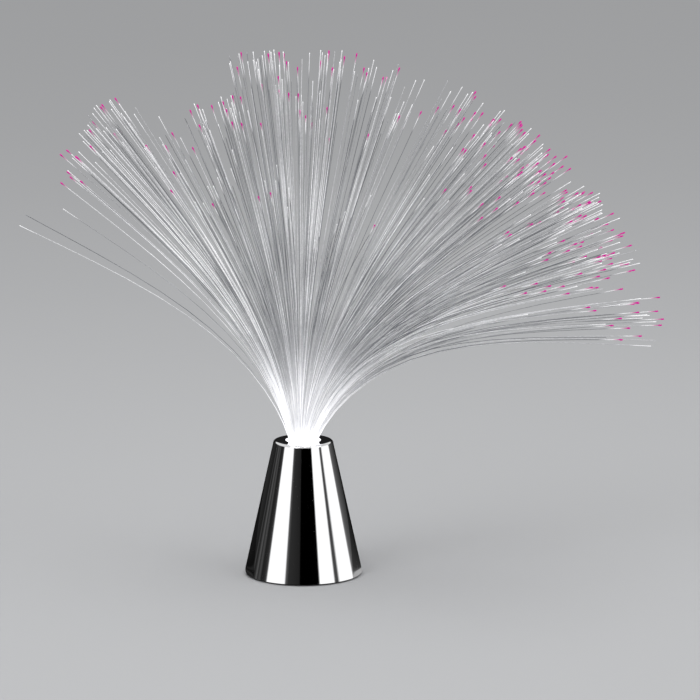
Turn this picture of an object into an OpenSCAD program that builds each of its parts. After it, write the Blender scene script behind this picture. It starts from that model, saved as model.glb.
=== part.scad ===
// Fibre optic lamp: a chromed cone that holds cells, a switch and three colour-changing
// lamps, with a loose spray of optical fibres standing in a socket at its top.
// The origin is the centre of the foot ring on the surface it stands on, and +Z is up.

/* [Base cone] */
// Diameter of the cone at its foot
base_d = 78; // [74:1:86]
// Diameter of the cone at its top rim
top_d = 39; // [36:1:46]
// Height of the top rim above the surface
base_h = 90; // [84:1:104]
// Thickness of the cone's wall
wall = 2; // [1.6:0.1:2.4]
// Thickness of the cone's top
top_wall = 2.6; // [2:0.1:3.4]
// Radius of the rounded top rim
rim_r = 2; // [1:0.25:3]
// Thickness of the ribs and webs inside the cone
rib_t = 1.4; // [1:0.1:2]

/* [Foot] */
// Distance from the surface to the lower edge of the cone
foot_h = 1.2; // [0.8:0.1:2]
// Width of the rubber foot ring
foot_ring_w = 2.4; // [1.8:0.1:2.6]
// Width of the plate's edge outside the foot ring
foot_edge = 1.2; // [1:0.1:1.5]
// Depth of the groove that holds the foot ring
foot_groove = 0.8; // [0.6:0.1:1]

/* [Base plate] */
// Thickness of the base plate
plate_t = 2.4; // [2.2:0.1:3]
// How far the plate sits above the lower edge of the cone
plate_recess = 0.4; // [0.2:0.1:0.8]
// Clearance round the edge of the plate
plate_fit = 0.15; // [0.1:0.05:0.3]
// Thickness of the battery tray's walls
tray_wall = 1.2; // [1:0.1:1.6]

/* [Cells] */
// Diameter of one cell
cell_d = 10.3; // [9.8:0.1:10.5]
// Length of one cell with its nub
cell_l = 44.5; // [42:0.5:45]
// Distance between the axes of neighbouring cells
cell_pitch = 11.2; // [11:0.1:11.5]
// Clearance round a cell
cell_fit = 0.25; // [0.15:0.05:0.3]
// Length of a compressed contact spring
spring_l = 3.8; // [3.4:0.1:4.2]
// Diameter of the spring wire
spring_wire_d = 0.5; // [0.4:0.05:0.55]
// Turns of a contact spring
spring_turns = 3; // [2:1:3]
// Thickness of the contact plates
contact_t = 0.4; // [0.3:0.1:0.5]

/* [Battery door] */
// Thickness of the door
door_t = 1.6; // [1.4:0.1:1.8]
// Gap round the edge of the door
door_gap = 0.3; // [0.25:0.05:0.4]
// Radius of the door's hinge barrel
barrel_r = 2; // [1.8:0.1:2.2]
// Length of the door's hinge barrel
barrel_l = 28; // [20:1:30]
// Diameter of the door's stub pins
pin_d = 2; // [1.6:0.1:2.2]
// Radial clearance of a stub pin in its cheek
pin_fit = 0.06; // [0.04:0.01:0.1]

/* [Screws] */
// Shank diameter of a plate screw
plate_screw_d = 2.6; // [2.2:0.1:3]
// Shank diameter of a board or switch screw
small_screw_d = 2; // [1.6:0.1:2.2]

/* [Switch] */
// Length of the switch can
switch_l = 10; // [9:0.5:11]
// Width of the switch can
switch_w = 5.6; // [5:0.1:6]
// Height of the switch can
switch_h = 4.4; // [4:0.1:5]
// Travel of the switch lever
switch_travel = 3; // [2:0.5:3.5]
// Width of the lever
lever_w = 2.2; // [1.8:0.1:2.6]

/* [Socket and bundle] */
// Diameter of the socket in the top of the cone
socket_d = 23.5; // [22.5:0.5:24.5]
// Depth of the socket
socket_depth = 36; // [30:1:40]
// Depth of the light chamber below the socket
chamber_depth = 8; // [8:0.5:10]
// Radial clearance of the bush in its socket
bush_fit = 0.08; // [0.05:0.01:0.1]
// Outer diameter of the ferrule
ferrule_d = 19; // [18:0.25:19.5]
// Radial clearance of the ferrule in the bush
ferrule_fit = 0.08; // [0.05:0.01:0.1]
// Wall of the ferrule
ferrule_wall = 0.7; // [0.5:0.1:0.9]
// How far the ferrule stops below the top of the cone
ferrule_drop = 2.5; // [1.5:0.5:4]

/* [Circuit board] */
// Diameter of the circuit board
board_d = 38; // [36:1:40]
// Thickness of the circuit board
board_t = 1.6; // [1:0.1:2]
// Distance of each lamp from the axis
led_ring_r = 4.6; // [4:0.1:5]
// Diameter of a lamp's dome
led_d = 5; // [4.6:0.1:5.2]

/* [Fibres] */
// Length of a fibre above the potting
fibre_l = 263; // [180:1:300]
// Radius of a fibre
fibre_r = 0.28; // [0.2:0.02:0.3]
// Least gap between neighbouring fibres at the root
fibre_gap = 0.24; // [0.22:0.01:0.34]
// Lean of the whole spray to the right, in degrees
lean = 10; // [0:0.5:16]
// Spread of the fibres to the left and right of the lean, in degrees
spread_x = 60; // [44:1:66]
// Spread of the fibres to the front and back, in degrees
spread_y = 50; // [30:1:52]

/* [Hidden] */
$fn = 64;
eps = 0.01;           // overlap that makes two shapes one
past = 1;             // how far a cutter runs past the face it cuts

// cone
cone_slope = (base_d - top_d) / 2 / (base_h - foot_h);
wall_across = wall * sqrt(1 + cone_slope * cone_slope);
function shell_r(z) = base_d / 2 - cone_slope * (z - foot_h);
function cavity_r(z) = shell_r(z) - wall_across;
cavity_top = base_h - top_wall;

// base plate
plate_z = foot_h + plate_recess;
plate_top = plate_z + plate_t;
groove_top = plate_z + foot_groove;
foot_ring_out_r = cavity_r(plate_z) - plate_fit - foot_edge;
foot_ring_in_r = foot_ring_out_r - foot_ring_w;
groove_fit = 0.05;

// cells, the row's long side along X
cell_count = 3;
cell_lift = 0.5;      // gap between the door and the cells
door_top = plate_z + door_t;
cell_z = door_top + cell_lift + cell_d / 2;
trough_r = cell_d / 2 + cell_fit;
nub_d = 3.6;
nub_h = 0.8;
dimple_h = 0.3;       // raised spot on a contact plate
bay_l = cell_l + spring_l + 2 * contact_t + dimple_h;
bay_w = (cell_count - 1) * cell_pitch + 2 * trough_r;
tray_l = bay_l + 2 * tray_wall;
tray_top = cell_z + trough_r + tray_wall;
tray_open_z = cell_z + 1.5;
function cell_y(k) = (k - (cell_count - 1) / 2) * cell_pitch;
function cell_way(k) = k % 2 == 0 ? 1 : -1;   // +1: the nub points to -X
contact_h = 8.4;
contact_w = 7.6;
tab_w = 3;
tab_top = tray_top + 3;
tab_slot = 0.2;

// door
door_ledge = 0.9;
latch_t = 1.2;
door_half_l = bay_l / 2 + door_ledge;
door_front = -bay_w / 2 - tray_wall - latch_t - 2 * door_gap;
door_back = bay_w / 2 + 0.6;
hinge_back = barrel_r + 1.8;   // from the door's back edge to the hinge's axis
hinge_y = door_back + hinge_back;
hinge_z = plate_z + barrel_r;
barrel_reach = barrel_r + door_gap;
hinge_half_l = barrel_l / 2 + door_gap;
pin_l = 2.6;
pin_end_gap = 0.2;
cheek_t = pin_l + pin_end_gap + 0.8;
// how far the back edge of the door comes towards the hinge as it swings out of the plate
edge_swing_r = norm([hinge_back, barrel_r - door_t]);
swing_room = hinge_back - sqrt(edge_swing_r * edge_swing_r - barrel_r * barrel_r);
latch_w = 10;
latch_nose = 0.6;
latch_h = 3.8;
nose_gap = 0.2;       // gap in front of and below the latch's nose
door_corner_r = 4.5;
grip_w = 0.6;         // grooves for a fingernail in front of the latch
grip_depth = 0.4;
grip_pitch = 1.4;
grip_start = 2.4;

// screws
plate_head_d = 5.2;
plate_head_h = 1.4;
plate_head_room = 0.5;
plate_head_r = (plate_head_d + plate_head_room) / 2;
screw_edge = 0.8;     // plate left between a screw's recess and its neighbours
screw_ring_r = foot_ring_in_r - plate_head_r - screw_edge;
front_screw_y = door_front - door_gap - plate_head_r - screw_edge;
front_screw_x = sqrt(screw_ring_r * screw_ring_r - front_screw_y * front_screw_y);
plate_screw_at = [[front_screw_x, front_screw_y], [-front_screw_x, front_screw_y], [0, screw_ring_r]];
plate_screw_fit = 0.2;
head_sink = 0.2;      // how far a head sits below the plate's face
plate_screw_l = 10;
shell_boss_d = 6.2;
shell_boss_h = 30;
small_head_d = 3.6;
small_head_h = 1.2;
small_screw_fit = 0.15;

// switch
switch_edge = 3.2;     // plate left between the switch and the foot ring
switch_y = switch_w / 2 + switch_edge - foot_ring_in_r;
can_wall = 0.4;
flange_t = 0.5;
flange_ear_l = 4.5;
flange_l = switch_l + 2 * flange_ear_l;
switch_screw_x = switch_l / 2 + 2.4;
lever_block_l = 5;
lever_block_h = 1.8;
lever_room = 0.3;
lever_slot_l = lever_w + switch_travel + 2 * lever_room;
lever_drop = 2;
insulator_t = 0.8;
switch_pocket = 1.2;
terminal_pitch = 3;
terminal_w = 1.2;
terminal_t = 0.5;
terminal_h = 3.2;
terminal_root = 0.4;  // length below the insulator
slot_edge = 1.4;      // plate pocket beyond the ends of the lever's slot
screw_bore_floor = 0.5;
block_gap = 0.1;      // under the lever's block
block_side_gap = 0.3;
block_end_gap = 0.7;
can_top = plate_top + switch_h;

// socket, chamber and board
socket_z = base_h - socket_depth;
board_top = socket_z - chamber_depth;
board_z = board_top - board_t;
tube_wall = 2;
socket_rib_rise = 8;   // how far above the socket's floor its three ribs start
tube_r = socket_d / 2 + tube_wall;
bush_d = socket_d - 2 * bush_fit;
bush_in_d = ferrule_d + 2 * ferrule_fit;
bush_lip = 2;
bush_z = socket_z + 0.1;
bush_top = base_h - 1;
chamber_d = socket_d - 4;
ferrule_z = bush_z + bush_lip + 0.1;
ferrule_top = base_h - ferrule_drop;
core_d = ferrule_d - 2 * ferrule_wall;
lip_in_d = core_d - 1.6;
ear_r = board_d / 2 - 3;
ear_d = 5.2;
ear_h = 12;
board_screw_l = 7;
led_flange_d = led_d + 0.8;
led_flange_h = 1;
led_body_h = 3.6;
leg_d = 0.5;
leg_l = 3;
leg_hole_d = 0.9;
leg_pitch = 2.54;
resistor_size = [3.2, 1.6, 0.6];
resistor_r = 11;
resistor_angles = [-130, -90, -50];
pad_r = board_d / 2 - 5;
feed_pad_angle = -52;
return_pad_angle = 20;

// fibres
sector_count = 8;
potting_t = 1.5;
root_z = ferrule_top - potting_t;
fibre_pitch = 2 * fibre_r + fibre_gap;
root_r = core_d / 2 - fibre_r - fibre_gap;
first_ring_r = 1;
ring_count = 1 + floor((root_r - first_ring_r) / fibre_pitch);
fibre_sides = 3;
length_range = 0.12;  // how much shorter than the longest a fibre may be
root_share = 0.25;    // share of the tilt that a fibre already has at its root
bend_power = 2.5;     // how soon a fibre takes the rest of it
chord_share = root_share + (1 - root_share) * bend_power / (bend_power + 1);
left_depth = 0.75;    // front to back spread of the left-most fibres, against the others'
// how the fibres share out, from left to right: share of them, and how far those lean
lean_curve = [[0, -1], [0.008, -0.8], [0.14, -0.57], [0.17, -0.4], [0.38, -0.12], [0.57, 0.35],
              [0.91, 0.74], [0.97, 0.87], [1, 1]];
fibre_sink = 0.6;     // how deep a fibre is rooted in the potting
straight_joints = [0, 0.17, 0.55, 1];
bent_joints = [0, 0.17, 0.4, 0.68, 1];

// internal leads
wire_d = 1.2;
wire_sides = 8;
wire_steps = 3;

// ---------------------------------------------------------------- helpers

module ring(r_out, r_in, z0, z1) {
  translate([0, 0, z0]) difference() {
    cylinder(r = r_out, h = z1 - z0);
    translate([0, 0, -past]) cylinder(r = r_in, h = z1 - z0 + 2 * past);
  }
}

module box(from, to) {
  translate(from) cube(to - from);
}

// a screw with its head's seat at z = 0 and its shank upwards
module screw(shank_d, shank_l, head_d, head_h) {
  slot_w = head_d / 5;
  difference() {
    union() {
      translate([0, 0, -head_h]) cylinder(d1 = head_d * 0.8, d2 = head_d, h = head_h * 0.4);
      translate([0, 0, -head_h * 0.6]) cylinder(d = head_d, h = head_h * 0.6);
      cylinder(d = shank_d, h = shank_l - shank_d / 2);
      translate([0, 0, shank_l - shank_d / 2]) cylinder(d1 = shank_d, d2 = shank_d / 3, h = shank_d / 2);
    }
    for (a = [0, 90])
      rotate(a) translate([0, 0, -head_h]) cube([head_d * 0.6, slot_w, head_h], center = true);
  }
}

function unit(v) = v / norm(v);

// normals carried along a line without twist
function carried(t, first) = [
  for (i = 0, n = unit(first - t[0] * (first * t[0])); i < len(t);
       i = i + 1, n = i < len(t) ? unit(n - t[i] * (n * t[i])) : n) n
];

function tangents(p) = [
  for (i = [0 : len(p) - 1]) unit(p[min(i + 1, len(p) - 1)] - p[max(i - 1, 0)])
];

function sweep_points(p, t, n, r, sides) = [
  for (i = [0 : len(p) - 1], s = [0 : sides - 1])
    let (a = 360 * s / sides) p[i] + r * (cos(a) * n[i] + sin(a) * cross(t[i], n[i]))
];

function sweep_faces(rings, sides) = concat(
  [for (s = [1 : sides - 2]) [0, s, s + 1]],
  [for (s = [1 : sides - 2]) let (b = (rings - 1) * sides) [b, b + s + 1, b + s]],
  [for (i = [0 : rings - 2], s = [0 : sides - 1], half = [0, 1])
    let (a = i * sides + s, b = i * sides + (s + 1) % sides)
      half == 0 ? [a, a + sides, b] : [b, a + sides, b + sides]]
);

// a tube of the given radius along a list of points
module sweep(p, t, first, r, sides) {
  polyhedron(sweep_points(p, t, carried(t, first), r, sides), sweep_faces(len(p), sides), convexity = 6);
}

// a smooth line through the given points
function smooth(p, steps) = concat(
  [for (i = [0 : len(p) - 2], s = [0 : steps - 1])
    let (a = p[max(i - 1, 0)], b = p[i], c = p[i + 1], d = p[min(i + 2, len(p) - 1)], u = s / steps)
      0.5 * (2 * b + (c - a) * u + (2 * a - 5 * b + 4 * c - d) * u * u + (3 * b - a - 3 * c + d) * u * u * u)],
  [p[len(p) - 1]]
);

// ---------------------------------------------------------------- base

module cone_outside() {
  corner = [shell_r(base_h - rim_r), base_h - rim_r];
  rotate_extrude() polygon(concat(
    [[0, foot_h], [shell_r(foot_h), foot_h]],
    [for (a = [0 : 15 : 90]) [corner[0] - rim_r + rim_r * cos(a), corner[1] + rim_r * sin(a)]],
    [[0, base_h]]
  ));
}

// the space inside the cone, grown outwards into the wall
module cone_inside(grow = 0) {
  rotate_extrude() polygon([
    [0, foot_h - past], [cavity_r(foot_h - past) + grow, foot_h - past],
    [cavity_r(cavity_top) + grow, cavity_top + grow], [0, cavity_top + grow],
  ]);
}

module socket_tube() {
  translate([0, 0, board_top]) cylinder(r = tube_r, h = cavity_top - board_top + wall / 2);
  for (a = [90, 210, 330]) rotate(a) {
    translate([ear_r, 0, board_top]) cylinder(d = ear_d, h = ear_h);
    box([tube_r - wall, -rib_t / 2, board_top + 1], [ear_r, rib_t / 2, board_top + ear_h]);
  }
  for (a = [30, 150, 270]) rotate(a)
    box([tube_r - wall, -rib_t / 2, socket_z + socket_rib_rise], [base_d / 2, rib_t / 2, cavity_top]);
}

module plate_bosses() {
  for (p = plate_screw_at) translate(p) {
    translate([0, 0, plate_top]) cylinder(d = shell_boss_d, h = shell_boss_h);
    rotate(atan2(p[1], p[0]))
      box([0, -rib_t / 2, plate_top + 2], [base_d / 2, rib_t / 2, plate_top + shell_boss_h]);
  }
}

module base_shell() color("silver") difference() {
  union() {
    difference() {
      cone_outside();
      cone_inside();
    }
    intersection() {
      cone_inside(wall / 2);
      union() {
        socket_tube();
        plate_bosses();
      }
    }
  }
  translate([0, 0, socket_z]) cylinder(d = socket_d, h = socket_depth + past);
  translate([0, 0, board_top - past]) cylinder(d = chamber_d, h = chamber_depth + 2 * past);
  for (a = [90, 210, 330]) rotate(a)
    translate([ear_r, 0, board_top - past]) cylinder(d = small_screw_d, h = board_screw_l + past);
  for (p = plate_screw_at)
    translate([p[0], p[1], plate_top - past]) cylinder(d = plate_screw_d, h = plate_screw_l + past);
}

// outline of the three cells' troughs, seen along X
module trough_outline(grow) {
  for (k = [0 : cell_count - 1]) translate([cell_y(k), cell_z]) circle(trough_r + grow);
}

module tray_outside() {
  translate([-tray_l / 2, 0, 0]) rotate([90, 0, 90]) linear_extrude(tray_l) {
    trough_outline(tray_wall);
    translate([-bay_w / 2 - tray_wall, plate_top - eps])
      square([bay_w + 2 * tray_wall, cell_z - plate_top + eps]);
  }
}

module tray_inside() {
  translate([-bay_l / 2, 0, 0]) rotate([90, 0, 90]) linear_extrude(bay_l) {
    trough_outline(0);
    translate([-bay_w / 2, plate_z - past]) square([bay_w, tray_open_z - plate_z + past]);
  }
}

// a rectangle with rounded corners, from one corner to the other
module rounded(from, to, r) {
  translate([from[0] + r, from[1]]) square([to[0] - from[0] - 2 * r, to[1] - from[1]]);
  translate([from[0], from[1] + r]) square([to[0] - from[0], to[1] - from[1] - 2 * r]);
  for (x = [from[0] + r, to[0] - r], y = [from[1] + r, to[1] - r])
    translate([x, y]) circle(r);
}

module door_outline(grow) {
  linear_extrude(door_t)
    rounded([-door_half_l - grow, door_front - grow], [door_half_l + grow, door_back + grow],
            door_corner_r + grow);
}

// a round-topped block along the hinge's axis, from the height z0 up
module hinge_block(half_l, r, z0) {
  intersection() {
    translate([-half_l, hinge_y, hinge_z]) rotate([0, 90, 0]) cylinder(r = r, h = 2 * half_l);
    box([-half_l, hinge_y - r, z0], [half_l, hinge_y + r, hinge_z + r]);
  }
  box([-half_l, hinge_y - r, z0], [half_l, hinge_y + r, hinge_z]);
}

module hinge_room() {
  hinge_block(hinge_half_l, barrel_reach, plate_z - past);
  box([-hinge_half_l, door_back, plate_z - past], [hinge_half_l, hinge_y, door_top + door_gap]);
}

// the space of the latch's tongue, grown to make the cowl round it
module latch_block(grow, z0) {
  side = latch_w / 2 + door_gap + grow;
  box([-side, door_front - latch_nose - nose_gap - grow, z0],
      [side, door_front + latch_t + door_gap, door_top + latch_h + door_gap + grow]);
}

module base_plate() color("dimgray") difference() {
  union() {
    translate([0, 0, plate_z])
      cylinder(r1 = cavity_r(plate_z) - plate_fit, r2 = cavity_r(plate_top) - plate_fit, h = plate_t, $fn = 96);
    tray_outside();
    hinge_block(hinge_half_l + cheek_t, barrel_reach + tray_wall, plate_z + eps);
    latch_block(tray_wall, plate_z + eps);
  }
  tray_inside();
  translate([0, 0, plate_z]) door_outline(door_gap);
  translate([0, swing_room, plate_z]) door_outline(door_gap);
  hinge_room();
  latch_block(0, plate_z - past);
  ring(foot_ring_out_r + groove_fit, foot_ring_in_r - groove_fit, plate_z - past, groove_top);
  translate([-hinge_half_l - pin_l - pin_end_gap, hinge_y, hinge_z]) rotate([0, 90, 0])
    cylinder(d = pin_d + 2 * pin_fit, h = 2 * (hinge_half_l + pin_l + pin_end_gap));
  for (p = plate_screw_at) translate([p[0], p[1], plate_z - past]) {
    cylinder(d = plate_screw_d + 2 * plate_screw_fit, h = plate_t + 2 * past);
    cylinder(r = plate_head_r, h = past + plate_head_h + head_sink);
  }
  translate([0, switch_y, 0]) {
    box([-lever_slot_l / 2, -lever_w / 2 - lever_room, plate_z - past],
        [lever_slot_l / 2, lever_w / 2 + lever_room, plate_top + past]);
    box([-lever_slot_l / 2 - slot_edge, -switch_w / 2, plate_z - past],
        [lever_slot_l / 2 + slot_edge, switch_w / 2, plate_z + switch_pocket]);
    for (side = [-1, 1]) translate([side * switch_screw_x, 0, plate_z + screw_bore_floor])
      cylinder(d = small_screw_d, h = plate_t);
  }
  tab_cut(-1, 0);
  tab_cut(1, cell_count - 1);
}

module tab_cut(end, k) {
  translate([end * (bay_l / 2 - contact_t / 2), cell_y(k), tray_top])
    cube([contact_t + tab_slot, tab_w + tab_slot, 2 * (trough_r + tray_wall)], center = true);
}

module foot_ring() color("#202022")
  ring(foot_ring_out_r, foot_ring_in_r, 0, groove_top);

module plate_screws() color("gainsboro")
  for (p = plate_screw_at) translate([p[0], p[1], plate_z + plate_head_h + head_sink])
    screw(plate_screw_d, plate_screw_l, plate_head_d, plate_head_h);

// the door, its barrel and stub pins, and the springy tongue that latches it
module battery_door() color("dimgray") difference() {
  union() {
    translate([0, 0, plate_z]) door_outline(0);
    box([-barrel_l / 2, door_back - eps, plate_z], [barrel_l / 2, hinge_y, door_top]);
    translate([-barrel_l / 2, hinge_y, hinge_z]) rotate([0, 90, 0]) cylinder(r = barrel_r, h = barrel_l);
    translate([-hinge_half_l - pin_l, hinge_y, hinge_z]) rotate([0, 90, 0])
      cylinder(d = pin_d, h = 2 * (hinge_half_l + pin_l));
    box([-latch_w / 2, door_front, door_top - eps], [latch_w / 2, door_front + latch_t, door_top + latch_h]);
    translate([-latch_w / 2, door_front + eps, plate_top + nose_gap]) rotate([90, 0, 90])
      linear_extrude(latch_w)
        polygon([[0, 0], [-latch_nose, 0], [0, latch_h + door_top - plate_top - nose_gap]]);
  }
  for (row = [0 : 2]) translate([0, door_front + grip_start + grip_pitch * row, plate_z])
    box([-latch_w / 2, 0, -past], [latch_w / 2, grip_w, grip_depth]);
}

// ---------------------------------------------------------------- cells and contacts

module cell(k) {
  start = -bay_l / 2 + contact_t + dimple_h;
  edge_r = 0.6;
  skin = 0.25;        // the jacket's turned-over edge
  translate([0, cell_y(k), cell_z]) mirror([cell_way(k) > 0 ? 0 : 1, 0, 0])
    translate([start, 0, 0]) rotate([0, 90, 0]) rotate_extrude() polygon(concat(
      [[0, 0], [nub_d / 2 - 0.3, 0], [nub_d / 2, 0.3], [nub_d / 2, nub_h + skin]],
      [[cell_d / 2 - 1.6, nub_h + skin], [cell_d / 2 - 1.2, nub_h]],
      [for (a = [0 : 30 : 90])
        [cell_d / 2 - edge_r + edge_r * sin(a), nub_h + edge_r - edge_r * cos(a)]],
      [for (a = [0 : 30 : 90])
        [cell_d / 2 - edge_r + edge_r * cos(a), cell_l - skin - edge_r + edge_r * sin(a)]],
      [[cell_d / 2 - 1.2, cell_l - skin], [cell_d / 2 - 1.6, cell_l - skin - 0.2]],
      [[cell_d / 2 - 1.8, cell_l], [0, cell_l]]
    ));
}
module cell_1() color("#7a8a99") cell(0);
module cell_2() color("#7a8a99") cell(1);
module cell_3() color("#7a8a99") cell(2);

// conical spring from a contact plate to the flat end of cell k
module cell_spring(k) {
  plate_r = contact_w / 2 - spring_wire_d;
  cell_r = plate_r * 0.6;
  per_turn = 8;
  last = spring_turns * per_turn;
  way = cell_way(k);
  path = [for (i = [0 : last])
    let (a = 360 * i / per_turn, r = plate_r + (cell_r - plate_r) * i / last,
         x = spring_wire_d / 2 + (spring_l - spring_wire_d) * i / last)
      [way * (bay_l / 2 - contact_t - x), cell_y(k) + way * r * cos(a), cell_z + r * sin(a)]];
  gaps = [for (i = [0 : last - per_turn / 2], j = [i + per_turn / 2 : last]) norm(path[i] - path[j])];
  echo(spring = k + 1, least_gap = min(gaps) - spring_wire_d);
  sweep(path, tangents(path), [1, 0, 0], spring_wire_d / 2, 6);
}
module spring_1() color("gainsboro") cell_spring(0);
module spring_2() color("gainsboro") cell_spring(1);
module spring_3() color("gainsboro") cell_spring(2);

// the part of a contact plate behind cell k, at one end of the tray
module contact_pad(end, k, dimple) {
  rim = 0.8;          // how much lower the pad's top is than its side
  translate([end * bay_l / 2, cell_y(k), cell_z]) {
    box([min(0, -end * contact_t), -contact_w / 2, -contact_h / 2],
        [max(0, -end * contact_t), contact_w / 2, contact_h / 2 - rim]);
    if (dimple) rotate([0, -end * 90, 0]) cylinder(d1 = nub_d, d2 = nub_d * 0.7, h = contact_t + dimple_h);
  }
}

// the strip that joins the pads behind cells k and k + 1
module contact_strip(end, k) {
  translate([end * bay_l / 2, 0, cell_z])
    box([min(0, -end * contact_t), cell_y(k), -contact_h / 2],
        [max(0, -end * contact_t), cell_y(k + 1), tray_open_z - cell_z - 0.1]);
}

// the solder tab that passes up through the tray's roof
module contact_tab(end, k) {
  translate([end * bay_l / 2, cell_y(k), 0])
    box([min(0, -end * contact_t), -tab_w / 2, cell_z],
        [max(0, -end * contact_t), tab_w / 2, tab_top]);
}

module contact_positive() color("gainsboro") {
  contact_pad(-1, 0, true);
  contact_tab(-1, 0);
}

module contact_negative() color("gainsboro") {
  contact_pad(1, cell_count - 1, false);
  contact_tab(1, cell_count - 1);
}

module bridge_right() color("gainsboro") {
  contact_pad(1, 0, false);
  contact_strip(1, 0);
  contact_pad(1, 1, true);
}

module bridge_left() color("gainsboro") {
  contact_pad(-1, 1, false);
  contact_strip(-1, 1);
  contact_pad(-1, 2, true);
}

// ---------------------------------------------------------------- switch

module switch_can() color("silver") translate([0, switch_y, 0]) difference() {
  union() {
    box([-flange_l / 2, -switch_w / 2, plate_top], [flange_l / 2, switch_w / 2, plate_top + flange_t]);
    box([-switch_l / 2, -switch_w / 2, plate_top], [switch_l / 2, switch_w / 2, can_top]);
  }
  box([-switch_l / 2 + can_wall, -switch_w / 2 + can_wall, plate_top + can_wall],
      [switch_l / 2 - can_wall, switch_w / 2 - can_wall, can_top + past]);
  box([-lever_slot_l / 2, -lever_w / 2 - lever_room, plate_top - past],
      [lever_slot_l / 2, lever_w / 2 + lever_room, can_top]);
  for (side = [-1, 1]) translate([side * switch_screw_x, 0, plate_top - past])
    cylinder(d = small_screw_d + 2 * small_screw_fit, h = flange_t + 2 * past);
}

module terminal_shapes() {
  for (k = [-1 : 1]) translate([k * terminal_pitch, switch_y, 0])
    box([-terminal_t / 2, -terminal_w / 2, can_top - insulator_t - terminal_root],
        [terminal_t / 2, terminal_w / 2, can_top + terminal_h]);
}

module switch_insulator() color("saddlebrown") difference() {
  translate([0, switch_y, 0])
    box([-switch_l / 2 + can_wall, -switch_w / 2 + can_wall, can_top - insulator_t],
        [switch_l / 2 - can_wall, switch_w / 2 - can_wall, can_top]);
  terminal_shapes();
}

module switch_terminals() color("gold") terminal_shapes();

// the lever stands at the end of its travel that switches the lamps on
module switch_lever() color("#202022") translate([-switch_travel / 2, switch_y, 0]) {
  block_z = plate_top + can_wall + block_gap;
  block_y = switch_w / 2 - can_wall - block_side_gap;
  box([-lever_block_l / 2 + block_end_gap, -block_y, block_z],
      [lever_block_l / 2 - block_end_gap, block_y, block_z + lever_block_h]);
  box([-lever_w / 2, -lever_w / 2, plate_top - lever_drop], [lever_w / 2, lever_w / 2, block_z + eps]);
}

module switch_screws() color("gainsboro")
  for (side = [-1, 1]) translate([side * switch_screw_x, switch_y, plate_top + flange_t])
    mirror([0, 0, 1]) screw(small_screw_d, plate_t, small_head_d, small_head_h);

// ---------------------------------------------------------------- circuit board

function led_angle(k) = 90 + 120 * k;
leg_at = [for (k = [0 : 2], side = [-1, 1])
  let (a = led_angle(k))
    led_ring_r * [cos(a), sin(a)] + side * leg_pitch / 2 * [-sin(a), cos(a)]];

module led_board() color("darkgreen") difference() {
  translate([0, 0, board_z]) cylinder(d = board_d, h = board_t);
  for (p = leg_at) translate([p[0], p[1], board_z - past]) cylinder(d = leg_hole_d, h = board_t + 2 * past);
  for (a = [90, 210, 330]) rotate(a) translate([ear_r, 0, board_z - past])
    cylinder(d = small_screw_d + 2 * small_screw_fit, h = board_t + 2 * past);
}

module led(k) {
  a = led_angle(k);
  rotate(a) translate([led_ring_r, 0, board_top]) {
    rotate_extrude() polygon(concat(
      [[0, 0], [led_flange_d / 2, 0], [led_flange_d / 2, led_flange_h], [led_d / 2, led_flange_h]],
      [for (t = [0 : 15 : 90]) [led_d / 2 * cos(t), led_body_h + led_d / 2 * sin(t)]]
    ));
    for (side = [-1, 1]) translate([0, side * leg_pitch / 2, -leg_l]) cylinder(d = leg_d, h = leg_l + eps);
  }
}
module led_red() color("#ff6a6a") led(0);
module led_green() color("#7cff8a") led(1);
module led_blue() color("#7a9bff") led(2);

// the driver hangs under the board on four pins a side
module driver_chip() color("#202022") {
  body = [5, 4, 1.5];
  pin = [0.4, 1, 0.15];
  stand = 0.15;
  translate([0, 0, board_z - stand]) {
    box([-body[0] / 2, -body[1] / 2, -body[2]], [body[0] / 2, body[1] / 2, 0]);
    for (k = [-1.5 : 1.5], side = [-1, 1]) {
      x = k * 1.27;
      y0 = side > 0 ? body[1] / 2 - eps : -body[1] / 2 - pin[1];
      box([x - pin[0] / 2, y0, -body[2] / 2], [x + pin[0] / 2, y0 + pin[1] + eps, -body[2] / 2 + pin[2]]);
      y1 = side > 0 ? body[1] / 2 + pin[1] - pin[2] : -body[1] / 2 - pin[1];
      box([x - pin[0] / 2, y1, -body[2] / 2], [x + pin[0] / 2, y1 + pin[2], stand]);
    }
  }
}

module resistors() color("#33322e")
  for (a = resistor_angles) rotate(a) translate([resistor_r, 0, board_z])
    box([-resistor_size[0] / 2, -resistor_size[1] / 2, -resistor_size[2]],
        [resistor_size[0] / 2, resistor_size[1] / 2, 0]);

module board_screws() color("gainsboro")
  for (a = [90, 210, 330]) rotate(a) translate([ear_r, 0, board_z])
    screw(small_screw_d, board_t + board_screw_l - 1, small_head_d, small_head_h);

// ---------------------------------------------------------------- internal leads

positive_tab = [-bay_l / 2 + contact_t / 2, cell_y(0), tab_top];
negative_tab = [bay_l / 2 - contact_t / 2, cell_y(cell_count - 1), tab_top];
function terminal_end(k) = [k * terminal_pitch, switch_y, can_top + terminal_h];
function board_pad(a) = [pad_r * cos(a), pad_r * sin(a), board_z];
rise = [0, 0, 2.6];   // how far a lead runs straight from what it is soldered to
function between(a, b, share) = a + (b - a) * share;

module lead(route) {
  path = smooth(route, wire_steps);
  straight = concat([[0, 0, 1]], [for (i = [1 : len(path) - 2]) unit(path[i + 1] - path[i - 1])], [[0, 0, 1]]);
  sweep(path, straight, [1, 0, 0], wire_d / 2, wire_sides);
}

// from the first cell's tab over to the switch, in a low loop round the tray's corner
module wire_positive() color("crimson") {
  from = terminal_end(-1);
  to = positive_tab;
  lead([from, from + rise, between(from, to, 0.35) + [0, 2, 6], between(from, to, 0.7) + [0, 1, 7],
        to + rise, to]);
}

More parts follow.
